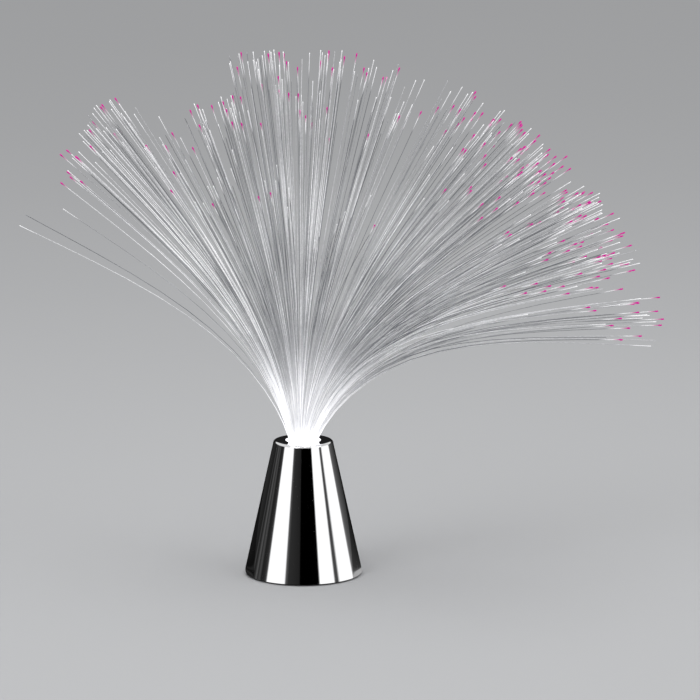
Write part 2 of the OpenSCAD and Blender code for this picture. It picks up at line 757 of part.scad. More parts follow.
// from the switch up to the board's edge
module wire_switched() color("crimson") {
  from = terminal_end(0);
  to = board_pad(feed_pad_angle);
  lead([from, from + rise, between(from, to, 0.35) + [3, -3, 0], between(from, to, 0.7) + [2, -3, 0],
        to - rise, to]);
}

// from the last cell's tab up to the board's other side
module wire_negative() color("#202022") {
  from = negative_tab;
  to = board_pad(return_pad_angle);
  lead([from, from + rise, between(from, to, 0.35) + [2, 1, 0], between(from, to, 0.7) + [2, 1, 0],
        to - rise, to]);
}

// ---------------------------------------------------------------- socket and bundle

module fibre_bush() color("white") difference() {
  chamfer = 0.5;
  translate([0, 0, bush_z]) cylinder(d = bush_d, h = bush_top - bush_z);
  translate([0, 0, bush_z + bush_lip]) cylinder(d = bush_in_d, h = bush_top);
  translate([0, 0, bush_z - past]) cylinder(d = lip_in_d, h = bush_lip + 2 * past);
  translate([0, 0, bush_top - chamfer])
    cylinder(d1 = bush_in_d, d2 = bush_in_d + 2 * chamfer + 2 * eps, h = chamfer + eps);
}

module ferrule() color("silver")
  ring(ferrule_d / 2, core_d / 2, ferrule_z, ferrule_top);

module bundle_core() color("aliceblue")
  translate([0, 0, ferrule_z]) cylinder(d = core_d, h = root_z - ferrule_z);

// ---------------------------------------------------------------- fibres

function sector_span() = 360 / sector_count;
function ring_r(j) = first_ring_r + j * fibre_pitch;
function ring_fibres(j) = max(1, floor(ring_r(j) * sector_span() * PI / 180 / fibre_pitch));

// roots of one sector, as [x, y, ring, number in the ring]
function roots(k) = [
  for (j = [0 : ring_count - 1], m = [0 : ring_fibres(j) - 1])
    let (a = sector_span() * (k + (m + 0.5) / ring_fibres(j)))
      [ring_r(j) * cos(a), ring_r(j) * sin(a), j, m]
];

// share of the round bundle that lies to the left of a root
function left_share(root) =
  let (p = root[0] / root_r)
  (acos(-p) * PI / 180 + p * sqrt(1 - p * p)) / PI;

// how far a fibre leans to the right, and to the back without passing the right-most one's tilt
function lean_x(root) = lean + spread_x * lookup(left_share(root), lean_curve);
function lean_y(root) =
  let (
    q = root[1] / sqrt(pow(core_d / 2, 2) - pow(root[0], 2)),
    most = sqrt(pow(lean + spread_x, 2) - pow(lean_x(root), 2)),
    wished = spread_y * min(1, left_depth + left_share(root)) * (0.6 * q + 0.4 * pow(q, 3))
  )
  max(-most, min(most, wished));

function share(root, k) = let (h = (root[2] * 7 + root[3] * 3 + k * 5) * 0.618034) h - floor(h);
function length_of(root, k) =
  fibre_l * (1 - length_range * (1 - share(root, k)) * min(1, norm([lean_x(root), lean_y(root)]) / 30));

// a fibre bends most at its root and not at all at its tip, as under its own weight
function tilt(u, full) = full * (root_share + (1 - root_share) * (1 - pow(1 - u, bend_power)));

function fibre_path(root, k) =
  let (
    sideways = norm([lean_x(root), lean_y(root)]),
    heading = atan2(lean_y(root), lean_x(root)),
    full = sideways / chord_share,
    l = length_of(root, k),
    u = sideways > 34 ? bent_joints : straight_joints,
    count = len(u) - 1,
    out = [for (i = 0, x = 0, z = 0; i <= count;
                i = i + 1,
                x = x + (i <= count ? l * (u[i] - u[i - 1]) * sin(tilt((u[i] + u[i - 1]) / 2, full)) : 0),
                z = z + (i <= count ? l * (u[i] - u[i - 1]) * cos(tilt((u[i] + u[i - 1]) / 2, full)) : 0))
           [x, z]]
  )
  [for (p = out)
    [root[0] + p[0] * cos(heading), root[1] + p[0] * sin(heading),
     ferrule_top + (p[1] > 0 ? p[1] : -fibre_sink)]];

module fibre(root, k) {
  path = fibre_path(root, k);
  sweep(path, tangents(path), [lean_x(root), lean_y(root), 0], fibre_r, fibre_sides);
}

module spray(k) color("ghostwhite") {
  translate([0, 0, root_z]) rotate(sector_span() * k)
    rotate_extrude(angle = sector_span()) square([core_d / 2, potting_t]);
  for (root = roots(k)) fibre(root, k);
}
module spray_1() spray(0);
module spray_2() spray(1);
module spray_3() spray(2);
module spray_4() spray(3);
module spray_5() spray(4);
module spray_6() spray(5);
module spray_7() spray(6);
module spray_8() spray(7);

base_shell();
base_plate();
foot_ring();
plate_screws();
battery_door();
cell_1();
cell_2();
cell_3();
spring_1();
spring_2();
spring_3();
contact_positive();
contact_negative();
bridge_left();
bridge_right();
switch_can();
switch_insulator();
switch_terminals();
switch_lever();
switch_screws();
led_board();
led_red();
led_green();
led_blue();
driver_chip();
resistors();
board_screws();
wire_positive();
wire_switched();
wire_negative();
fibre_bush();
ferrule();
bundle_core();
spray_1();
spray_2();
spray_3();
spray_4();
spray_5();
spray_6();
spray_7();
spray_8();
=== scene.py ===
import logging
import math
import random
from dataclasses import dataclass, field
from enum import Enum
from typing import Any, Sequence

import bmesh
import bpy
from mathutils import Matrix, Vector


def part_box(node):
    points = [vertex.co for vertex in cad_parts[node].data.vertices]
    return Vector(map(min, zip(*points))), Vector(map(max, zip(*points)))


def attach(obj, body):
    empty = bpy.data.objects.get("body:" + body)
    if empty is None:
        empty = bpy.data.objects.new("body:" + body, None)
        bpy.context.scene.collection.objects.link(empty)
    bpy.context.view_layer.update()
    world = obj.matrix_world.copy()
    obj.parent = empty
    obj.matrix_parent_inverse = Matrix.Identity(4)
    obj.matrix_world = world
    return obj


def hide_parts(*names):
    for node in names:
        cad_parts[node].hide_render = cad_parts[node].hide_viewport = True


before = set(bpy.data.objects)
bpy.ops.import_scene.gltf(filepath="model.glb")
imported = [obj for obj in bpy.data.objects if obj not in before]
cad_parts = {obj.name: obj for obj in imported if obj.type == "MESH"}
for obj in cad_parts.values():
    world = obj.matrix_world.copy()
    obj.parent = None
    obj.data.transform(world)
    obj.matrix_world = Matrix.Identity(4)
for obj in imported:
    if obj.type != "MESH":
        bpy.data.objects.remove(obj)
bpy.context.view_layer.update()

log = logging.getLogger("fibre_lamp")

MM = 0.001
WELD = 0.001 * MM
BLACK = (0.0, 0.0, 0.0)
# layers of finer noise in a soft, a cloudy and a crisp pattern
SOFT, CLOUDY, CRISP = 2.0, 3.0, 4.0
# the range that noise mostly keeps to
NOISE_LOW, NOISE_HIGH = 0.3, 0.7
# the colour sockets of a Mix node, among those of its other data types
MIX_SHARE, MIX_FIRST, MIX_SECOND, MIX_RESULT = 0, 6, 7, 2
Colour = tuple[float, float, float]
Scale = tuple[float, float, float]
Place = tuple[float, float, float]
Socket = bpy.types.NodeSocket
Stop = tuple[float, Colour]


def mesh_object(name: str, bm: bmesh.types.BMesh, smooth: bool = True) -> bpy.types.Object:
    """Turns a finished bmesh into an object at the origin.

    Args:
        name: Name of the piece.
        bm: The bmesh, which is freed.
        smooth: Whether its faces are shaded smooth.

    Returns:
        The linked object.
    """
    mesh = bpy.data.meshes.new(name)
    bm.to_mesh(mesh)
    bm.free()
    mesh.polygons.foreach_set("use_smooth", [smooth] * len(mesh.polygons))
    piece = bpy.data.objects.new(name, mesh)
    bpy.context.scene.collection.objects.link(piece)
    return piece


# ------------------------------------------------------------------ finishes


class Shader:
    """A node material built from the output backwards, one socket at a time."""

    def __init__(self, name: str) -> None:
        """Starts an empty material with a Principled shader on its output.

        Args:
            name: Name of the material.
        """
        self.material = bpy.data.materials.new(name)
        self.material.use_nodes = True
        self.tree = self.material.node_tree
        self.tree.nodes.clear()
        self.surface = self.tree.nodes.new("ShaderNodeBsdfPrincipled")
        output = self.tree.nodes.new("ShaderNodeOutputMaterial")
        self.tree.links.new(self.surface.outputs["BSDF"], output.inputs["Surface"])
        self.place = self.node("ShaderNodeTexCoord").outputs["Object"]

    def node(self, kind: str, **settings: Any) -> bpy.types.Node:
        """Adds one node and sets its properties.

        Args:
            kind: The node's type.
            settings: Its properties by name.

        Returns:
            The new node.
        """
        made = self.tree.nodes.new(kind)
        for key, value in settings.items():
            setattr(made, key, value)
        return made

    def feed(self, socket: Socket, value: Any) -> None:
        """Links a socket to another one, or sets its value.

        Args:
            socket: The socket to feed.
            value: Another socket, a colour or a number.
        """
        if isinstance(value, bpy.types.NodeSocket):
            self.tree.links.new(value, socket)
        elif isinstance(value, tuple) and socket.type == "RGBA":
            socket.default_value = (*value, 1.0)
        else:
            socket.default_value = value

    def set(self, **values: Any) -> None:
        """Feeds the Principled shader's sockets, named with underscores."""
        for key, value in values.items():
            self.feed(self.surface.inputs[key.replace("_", " ")], value)

    def stretched(self, scale: Scale) -> Socket:
        """Object coordinates, scaled by axis.

        Args:
            scale: Factor along each axis.

        Returns:
            The coordinates.
        """
        mapping = self.node("ShaderNodeMapping")
        self.feed(mapping.inputs["Vector"], self.place)
        mapping.inputs["Scale"].default_value = scale
        return mapping.outputs["Vector"]

    def noise(self, size: float, detail: float = CRISP, vector: Socket | None = None) -> Socket:
        """Noise with features of about the given size in metres.

        Args:
            size: Size of a feature.
            detail: Number of finer layers.
            vector: Coordinates, or None for the object's own.

        Returns:
            The noise, from 0 to 1.
        """
        texture = self.node("ShaderNodeTexNoise")
        self.feed(texture.inputs["Vector"], vector or self.place)
        texture.inputs["Scale"].default_value = 1.0 / size
        texture.inputs["Detail"].default_value = detail
        return texture.outputs["Fac"]

    def cells(self, size: float, vector: Socket | None = None) -> Socket:
        """Distance pattern of scattered cells.

        Args:
            size: Size of a cell in metres.
            vector: Coordinates, or None for the object's own.

        Returns:
            The distance from the nearest cell's middle.
        """
        texture = self.node("ShaderNodeTexVoronoi")
        self.feed(texture.inputs["Vector"], vector or self.place)
        texture.inputs["Scale"].default_value = 1.0 / size
        return texture.outputs["Distance"]

    def spread(self, value: Socket, low: float, high: float, to_low: float, to_high: float) -> Socket:
        """Maps a range of values to another, held at its ends.

        Args:
            value: The value.
            low: Start of its range.
            high: End of its range.
            to_low: What the start becomes.
            to_high: What the end becomes.

        Returns:
            The mapped value.
        """
        mapping = self.node("ShaderNodeMapRange")
        self.feed(mapping.inputs["Value"], value)
        for key, number in (("From Min", low), ("From Max", high), ("To Min", to_low), ("To Max", to_high)):
            mapping.inputs[key].default_value = number
        return mapping.outputs["Result"]

    def varied(self, noise: Socket, low: float, high: float) -> Socket:
        """Maps the range that noise mostly keeps to, to another."""
        return self.spread(noise, NOISE_LOW, NOISE_HIGH, low, high)

    def ramp(self, value: Socket, stops: Sequence[Stop]) -> Socket:
        """Colours along a value from 0 to 1.

        Args:
            value: The value.
            stops: Positions from 0 to 1, each with its colour.

        Returns:
            The colour.
        """
        node = self.node("ShaderNodeValToRGB")
        band = node.color_ramp
        while len(band.elements) < len(stops):
            band.elements.new(0.5)
        for element, (position, colour) in zip(band.elements, stops):
            element.position = position
            element.color = (*colour, 1.0)
        self.feed(node.inputs["Fac"], value)
        return node.outputs["Color"]

    def mix(self, share: Any, first: Any, second: Any) -> Socket:
        """Mixes two colours.

        Args:
            share: Share of the second.
            first: The first colour.
            second: The second colour.

        Returns:
            The mixed colour.
        """
        node = self.node("ShaderNodeMix", data_type="RGBA")
        self.feed(node.inputs[MIX_SHARE], share)
        self.feed(node.inputs[MIX_FIRST], first)
        self.feed(node.inputs[MIX_SECOND], second)
        return node.outputs[MIX_RESULT]

    def math(self, operation: str, first: Any, second: Any = 0.0) -> Socket:
        """One arithmetic step.

        Args:
            operation: What is done.
            first: The first number.
            second: The second, if it takes two.

        Returns:
            The result.
        """
        node = self.node("ShaderNodeMath", operation=operation)
        self.feed(node.inputs[0], first)
        self.feed(node.inputs[1], second)
        return node.outputs[0]

    def axes(self) -> tuple[Socket, Socket, Socket]:
        """The X, Y and Z of the object's coordinates.

        Returns:
            The three numbers.
        """
        parts = self.node("ShaderNodeSeparateXYZ")
        self.feed(parts.inputs[0], self.place)
        return parts.outputs[0], parts.outputs[1], parts.outputs[2]

    def radius(self) -> Socket:
        """Distance from the lamp's axis."""
        x, y, _ = self.axes()
        return self.math("SQRT", self.math("ADD", self.math("MULTIPLY", x, x), self.math("MULTIPLY", y, y)))

    def attribute(self, name: str) -> Socket:
        """A number that the mesh itself carries."""
        return self.node("ShaderNodeAttribute", attribute_name=name).outputs["Fac"]

    def vector(self, operation: str, *values: Any) -> Socket:
        """One step of vector arithmetic.

        Args:
            operation: What is done.
            values: The vectors it is done to.

        Returns:
            The resulting vector.
        """
        node = self.node("ShaderNodeVectorMath", operation=operation)
        for slot, value in zip(node.inputs, values):
            self.feed(slot, value)
        return node.outputs[0]

    def distance(self, point: Vector) -> Socket:
        """Distance of the object's coordinates from a point.

        Args:
            point: The point.

        Returns:
            The distance.
        """
        node = self.node("ShaderNodeVectorMath", operation="DISTANCE")
        self.feed(node.inputs[0], self.place)
        node.inputs[1].default_value = point
        return node.outputs["Value"]

    def joined(self, x: Any, y: Any, z: Any) -> Socket:
        """A vector from its three parts.

        Args:
            x: Its X.
            y: Its Y.
            z: Its Z.

        Returns:
            The vector.
        """
        node = self.node("ShaderNodeCombineXYZ")
        for slot, value in zip(node.inputs, (x, y, z)):
            self.feed(slot, value)
        return node.outputs[0]

    def bump(self, height: Socket, depth: float, facing: Socket | None = None) -> None:
        """Raises the surface by a height from 0 to 1 times a depth in metres.

        Args:
            height: The height.
            depth: The depth.
            facing: The way that the surface faces, if not as its mesh does.
        """
        node = self.node("ShaderNodeBump")
        if facing is not None:
            self.feed(node.inputs["Normal"], facing)
        node.inputs["Strength"].default_value = 1.0
        node.inputs["Distance"].default_value = depth
        self.feed(node.inputs["Height"], height)
        self.feed(self.surface.inputs["Normal"], node.outputs["Normal"])


@dataclass(frozen=True)
class Moulding:
    """Moulded plastic or rubber with a fine grain, mottling and a dusty bloom."""

    name: str
    colour: Colour
    worn: Colour
    roughness: float = 0.45
    grain: float = 0.35 * MM
    depth: float = 0.03 * MM
    mottle: float = 9.0 * MM
    smoother: float = 0.06
    rougher: float = 0.08

    def material(self) -> bpy.types.Material:
        """Builds the material.

        Returns:
            The material.
        """
        s = Shader(self.name)
        cloud = s.noise(self.mottle, CLOUDY)
        s.set(Base_Color=s.mix(s.spread(cloud, 0.35, 0.7, 0.0, 1.0), self.colour, self.worn))
        s.set(Roughness=s.varied(cloud, self.roughness - self.smoother, self.roughness + self.rougher))
        s.bump(s.noise(self.grain, SOFT), self.depth)
        return s.material


@dataclass(frozen=True)
class Metal:
    """Plated or bare metal with rolling marks and a little tarnish."""

    name: str
    colour: Colour
    tarnish: Colour
    roughness: float = 0.28
    streak: Scale = (1.0, 1.0, 1.0)
    mark: float = 0.5 * MM
    depth: float = 0.008 * MM
    cloud: float = 4.0 * MM
    tarnished: float = 0.8
    smoother: float = 0.08
    rougher: float = 0.1

    def material(self) -> bpy.types.Material:
        """Builds the material.

        Returns:
            The material.
        """
        s = Shader(self.name)
        marks = s.noise(self.mark, CLOUDY, s.stretched(self.streak))
        cloud = s.noise(self.cloud, CLOUDY)
        s.set(Base_Color=s.mix(s.spread(cloud, 0.5, 0.75, 0.0, self.tarnished), self.colour, self.tarnish))
        rough = s.varied(marks, self.roughness - self.smoother, self.roughness + self.rougher)
        s.set(Metallic=1.0, Roughness=rough)
        s.bump(marks, self.depth)
        return s.material


@dataclass(frozen=True)
class ConeChrome:
    """Bright chrome outside, with faint drawing streaks and specks, and bare plastic inside."""

    foot_r: float
    slope: float
    foot_z: float
    top_z: float
    skin: float = 0.6 * MM
    lid: float = 1.6 * MM
    rim_r: float = 2.0 * MM
    hole_r: float = 12.0 * MM
    streak_w: float = 1.6 * MM
    streak_slack: float = 0.03
    film: float = 0.05
    cloud_w: float = 14.0 * MM
    polish: float = 0.035
    speck_gap: float = 1.7 * MM
    speck_size: float = 0.055
    speck_rough: float = 0.25
    ripple_w: float = 22.0 * MM
    ripple_slack: float = 0.25
    ripple_depth: float = 0.012 * MM
    plastic_rough: float = 0.45
    chrome: Colour = (0.93, 0.93, 0.94)
    dulled: Colour = (0.7, 0.7, 0.72)
    plastic: Colour = (0.09, 0.09, 0.095)

    def facing(self, s: Shader, outside: Socket) -> Socket:
        """The true round's facing on the cone and its rim, where the mesh is only near it.

        It holds because the housing is the one body that never moves.

        Args:
            s: The shader.
            outside: 1 on the chromed side, 0 inside.

        Returns:
            The facing.
        """
        x, y, z = s.axes()
        corner_z = self.top_z - self.rim_r
        corner_r = self.foot_r - self.slope * (corner_z - self.foot_z) - self.rim_r
        r = s.radius()
        out = s.math("MAXIMUM", s.math("SUBTRACT", r, corner_r), 0.0)
        up = s.math("MAXIMUM", s.math("SUBTRACT", z, corner_z), s.math("MULTIPLY", out, self.slope))
        share = s.math("DIVIDE", out, r)
        sideways = (s.math("MULTIPLY", x, share), s.math("MULTIPLY", y, share))
        round_way = s.vector("NORMALIZE", s.joined(*sideways, up))
        rounded = s.math("MULTIPLY", outside, s.math("GREATER_THAN", r, self.hole_r))
        mesh_way = s.node("ShaderNodeTexCoord").outputs["Normal"]
        return s.vector("NORMALIZE", s.mix(rounded, mesh_way, round_way))

    def material(self) -> bpy.types.Material:
        """Builds the material.

        Returns:
            The material.
        """
        s = Shader("cone_chrome")
        _, _, z = s.axes()
        risen = s.math("SUBTRACT", z, self.foot_z)
        skin_r = s.math("SUBTRACT", self.foot_r - self.skin, s.math("MULTIPLY", risen, self.slope))
        on_top = s.math("GREATER_THAN", z, self.top_z - self.lid)
        outside = s.math("MAXIMUM", s.math("GREATER_THAN", s.radius(), skin_r), on_top)
        inside = s.math("SUBTRACT", 1.0, outside)
        streaks = s.noise(self.streak_w, CRISP, s.stretched((1.0, 1.0, self.streak_slack)))
        clouds = s.spread(s.noise(self.cloud_w, CRISP), 0.4, 0.6, 0.2, 1.0)
        film = s.math("MULTIPLY", s.spread(streaks, 0.45, 0.75, 0.0, self.film), clouds)
        speck = s.math("LESS_THAN", s.cells(self.speck_gap), self.speck_size)
        speckled = s.math("MULTIPLY", speck, self.speck_rough)
        rough = s.math("ADD", s.math("ADD", film, self.polish), speckled)
        coat = s.mix(speck, self.chrome, self.dulled)
        s.set(Base_Color=s.mix(outside, self.plastic, coat), Metallic=outside)
        s.set(Roughness=s.math("MAXIMUM", rough, s.math("MULTIPLY", inside, self.plastic_rough)))
        ripples = s.noise(self.ripple_w, SOFT, s.stretched((1.0, 1.0, self.ripple_slack)))
        s.bump(ripples, self.ripple_depth, self.facing(s, outside))
        return s.material


@dataclass(frozen=True)
class CellJacket:
    """A shrunk two-tone jacket with bare steel at both ends of the cell."""

    half_l: float
    bare_l: float = 0.9 * MM
    band_share: float = 0.55
    cloud: float = 3.0 * MM
    crease_w: float = 1.1 * MM
    crease_depth: float = 0.02 * MM
    jacket: Colour = (0.045, 0.075, 0.12)
    band: Colour = (0.42, 0.44, 0.46)
    steel: Colour = (0.72, 0.71, 0.69)
    aged: Colour = (0.5, 0.48, 0.45)

    def material(self, name: str, centre: float, nub_side: int) -> bpy.types.Material:
        """Builds the material of one cell.

        Args:
            name: Name of the material.
            centre: X of the middle of the cell.
            nub_side: +1 if the nub points to +X, -1 if to -X.

        Returns:
            The material.
        """
        s = Shader(name)
        x, _, _ = s.axes()
        along = s.math("MULTIPLY", s.math("SUBTRACT", x, centre), float(nub_side))
        coated = s.math("LESS_THAN", s.math("ABSOLUTE", along), self.half_l - self.bare_l)
        ringed = s.math("GREATER_THAN", along, self.half_l * self.band_share)
        cloud = s.noise(self.cloud, CLOUDY)
        paint = s.mix(ringed, self.jacket, self.band)
        ends = s.mix(s.spread(cloud, 0.4, 0.7, 0.0, 0.5), self.steel, self.aged)
        s.set(Base_Color=s.mix(coated, ends, paint))
        s.set(Metallic=s.math("SUBTRACT", 1.0, coated), Roughness=s.varied(cloud, 0.22, 0.34))
        s.bump(s.noise(self.crease_w, SOFT, s.stretched((0.15, 1.0, 1.0))), self.crease_depth)
        return s.material


@dataclass(frozen=True)
class SolderMask:
    """Green solder mask over copper tracks, with bare laminate at the board's edge."""

    edge_r: float
    ring_r: float = 17.2 * MM
    ring_w: float = 1.1 * MM
    run_l: float = 6.4 * MM
    run_gap: float = 2.1 * MM
    run_w: float = 0.2 * MM
    run_scale: float = 100.0
    cut_w: float = 0.12 * MM
    copper_t: float = 0.035 * MM
    cloud: float = 2.0 * MM
    mask: Colour = (0.012, 0.11, 0.045)
    over_copper: Colour = (0.03, 0.2, 0.075)
    laminate: Colour = (0.42, 0.36, 0.2)

    def material(self) -> bpy.types.Material:
        """Builds the material.

        Returns:
            The material.
        """
        s = Shader("solder_mask")
        runs = s.node("ShaderNodeTexBrick")
        s.feed(runs.inputs["Vector"], s.place)
        sizes = {"Brick Width": self.run_l, "Row Height": self.run_gap, "Mortar Size": self.run_w}
        for key, size in sizes.items():
            runs.inputs[key].default_value = size * self.run_scale
        runs.inputs["Scale"].default_value = self.run_scale
        runs.inputs["Mortar Smooth"].default_value = 0.0
        off_ring = s.math("ABSOLUTE", s.math("SUBTRACT", s.radius(), self.ring_r))
        ring = s.math("LESS_THAN", off_ring, self.ring_w / 2)
        inner = s.math("LESS_THAN", s.radius(), self.ring_r)
        copper = s.math("MAXIMUM", ring, s.math("MULTIPLY", runs.outputs["Fac"], inner))
        rim = s.math("GREATER_THAN", s.radius(), self.edge_r - self.cut_w)
        s.set(Base_Color=s.mix(rim, s.mix(copper, self.mask, self.over_copper), self.laminate))
        s.set(Roughness=s.varied(s.noise(self.cloud, CLOUDY), 0.22, 0.36))
        s.bump(copper, self.copper_t)
        return s.material


@dataclass(frozen=True)
class LampResin:
    """The clear tinted epoxy of a domed lamp, lit from within."""

    name: str
    tint: Colour
    glow: Colour
    base_z: float
    dark_h: float = 1.0 * MM
    lit_h: float = 4.5 * MM
    haze_w: float = 1.2 * MM
    least_haze: float = 0.75
    strength: float = 0.9
    legs: Colour = (0.75, 0.75, 0.73)

    def material(self) -> bpy.types.Material:
        """Builds the material.

        Returns:
            The material.
        """
        s = Shader(self.name)
        _, _, z = s.axes()
        resin = s.math("GREATER_THAN", z, self.base_z)
        lit = s.spread(z, self.base_z + self.dark_h, self.base_z + self.lit_h, 0.1, 1.0)
        haze = s.varied(s.noise(self.haze_w, CLOUDY), self.least_haze, 1.0)
        s.set(Base_Color=s.mix(resin, self.legs, self.tint))
        s.set(Metallic=s.math("SUBTRACT", 1.0, resin))
        s.set(Roughness=s.spread(haze, self.least_haze, 1.0, 0.22, 0.1))
        glow = s.mix(s.math("MULTIPLY", s.math("MULTIPLY", lit, haze), resin), BLACK, self.glow)
        s.set(Emission_Color=glow, Emission_Strength=self.strength)
        return s.material


@dataclass(frozen=True)
class ChipBody:
    """Matt moulded epoxy with tinned pins beside it."""

    half_w: float
    grain: float = 0.2 * MM
    depth: float = 0.02 * MM
    epoxy: Colour = (0.016, 0.016, 0.018)
    dusty: Colour = (0.03, 0.03, 0.032)
    tin: Colour = (0.78, 0.77, 0.75)

    def material(self) -> bpy.types.Material:
        """Builds the material.

        Returns:
            The material.
        """
        s = Shader("chip_body")
        _, y, _ = s.axes()
        pins = s.math("GREATER_THAN", s.math("ABSOLUTE", y), self.half_w)
        grain = s.noise(self.grain, CLOUDY)
        body = s.mix(s.spread(grain, 0.4, 0.6, 0.0, 1.0), self.epoxy, self.dusty)
        s.set(Base_Color=s.mix(pins, body, self.tin))
        s.set(Metallic=pins, Roughness=s.varied(grain, 0.42, 0.6))
        s.bump(grain, self.depth)
        return s.material


@dataclass(frozen=True)
class ChipResistor:
    """Dark glass over ceramic, with tinned ends."""

    ring_r: float
    half_l: float
    glass_share: float = 0.68
    grain: float = 0.3 * MM
    depth: float = 0.01 * MM
    glass: Colour = (0.014, 0.014, 0.016)
    scuffed: Colour = (0.028, 0.027, 0.026)
    tin: Colour = (0.8, 0.79, 0.77)

    def material(self) -> bpy.types.Material:
        """Builds the material.

        Returns:
            The material.
        """
        s = Shader("chip_resistor")
        off = s.math("ABSOLUTE", s.math("SUBTRACT", s.radius(), self.ring_r))
        ends = s.math("GREATER_THAN", off, self.half_l * self.glass_share)
        grain = s.noise(self.grain, SOFT)
        glass = s.mix(s.spread(grain, 0.4, 0.6, 0.0, 1.0), self.glass, self.scuffed)
        s.set(Base_Color=s.mix(ends, glass, self.tin), Metallic=ends)
        s.set(Roughness=s.varied(grain, 0.2, 0.38))
        s.bump(grain, self.depth)
        return s.material


@dataclass(frozen=True)
class LeadJacket:
    """The soft sleeve of an internal lead, tinned where it is soldered at both ends."""

    name: str
    colour: Colour
    ends: tuple[Vector, Vector]
    bare_l: float = 1.5 * MM
    cloud: float = 2.5 * MM
    grain: float = 0.5 * MM
    depth: float = 0.02 * MM
    tin: Colour = (0.76, 0.75, 0.72)

    def material(self) -> bpy.types.Material:
        """Builds the material.

        Returns:
            The material.
        """
        s = Shader(self.name)
        near = [s.math("LESS_THAN", s.distance(end), self.bare_l) for end in self.ends]
        bare = s.math("MAXIMUM", *near)
        cloud = s.noise(self.cloud, CLOUDY)
        dull = tuple(0.75 * c + 0.02 for c in self.colour)
        s.set(Base_Color=s.mix(bare, s.mix(cloud, self.colour, dull), self.tin))
        s.set(Metallic=bare, Roughness=s.varied(cloud, 0.34, 0.48))
        s.bump(s.noise(self.grain, SOFT), self.depth)
        return s.material


@dataclass(frozen=True)
class LitSilicone:
    """Soft white plastic that passes the bundle's light on, brightest at its mouth."""

    dark_z: float
    mouth_z: float
    cloud: float = 3.0 * MM
    grain: float = 0.6 * MM
    depth: float = 0.015 * MM
    scatter: float = 2.0 * MM
    scattered: float = 0.25
    strength: float = 0.8
    shaded: float = 0.9
    colour: Colour = (0.86, 0.86, 0.85)
    light: Colour = (0.95, 0.95, 1.0)

    def material(self) -> bpy.types.Material:
        """Builds the material.

        Returns:
            The material.
        """
        s = Shader("lit_silicone")
        _, _, z = s.axes()
        lit = s.spread(z, self.dark_z, self.mouth_z, 0.0, 1.0)
        cloud = s.noise(self.cloud, CLOUDY)
        s.set(Base_Color=s.mix(cloud, self.colour, tuple(self.shaded * c for c in self.colour)))
        s.set(Roughness=s.varied(cloud, 0.4, 0.55), Subsurface_Weight=self.scattered)
        s.surface.inputs["Subsurface Radius"].default_value = (self.scatter,) * 3
        s.set(Emission_Color=s.mix(lit, BLACK, self.light), Emission_Strength=self.strength)
        s.bump(s.noise(self.grain, SOFT), self.depth)
        return s.material


@dataclass(frozen=True)
class PolishedPotting:
    """Clear resin round the cut and polished ends of the fibres."""

    pitch: float
    low_z: float
    high_z: float
    edge: tuple[float, float] = (0.32, 0.42)
    drawn_out: float = 0.001
    depth: float = 0.02 * MM
    strength: float = 0.6
    resin: Colour = (0.55, 0.55, 0.52)
    fibre: Colour = (0.9, 0.92, 0.95)
    dim: Colour = (0.05, 0.05, 0.05)
    light: Colour = (1.0, 0.97, 1.0)

    def material(self) -> bpy.types.Material:
        """Builds the material.

        Returns:
            The material.
        """
        s = Shader("polished_potting")
        _, _, z = s.axes()
        ends = s.cells(self.pitch, s.stretched((1.0, 1.0, self.drawn_out)))
        core = s.spread(ends, *self.edge, 1.0, 0.0)
        lit = s.spread(z, self.low_z, self.high_z, 0.75, 0.25)
        s.set(Base_Color=s.mix(core, self.resin, self.fibre))
        s.set(Roughness=s.spread(core, 0.0, 1.0, 0.35, 0.12))
        light = s.mix(s.math("MULTIPLY", core, lit), self.dim, self.light)
        s.set(Emission_Color=light, Emission_Strength=self.strength)
        s.bump(core, self.depth)
        return s.material


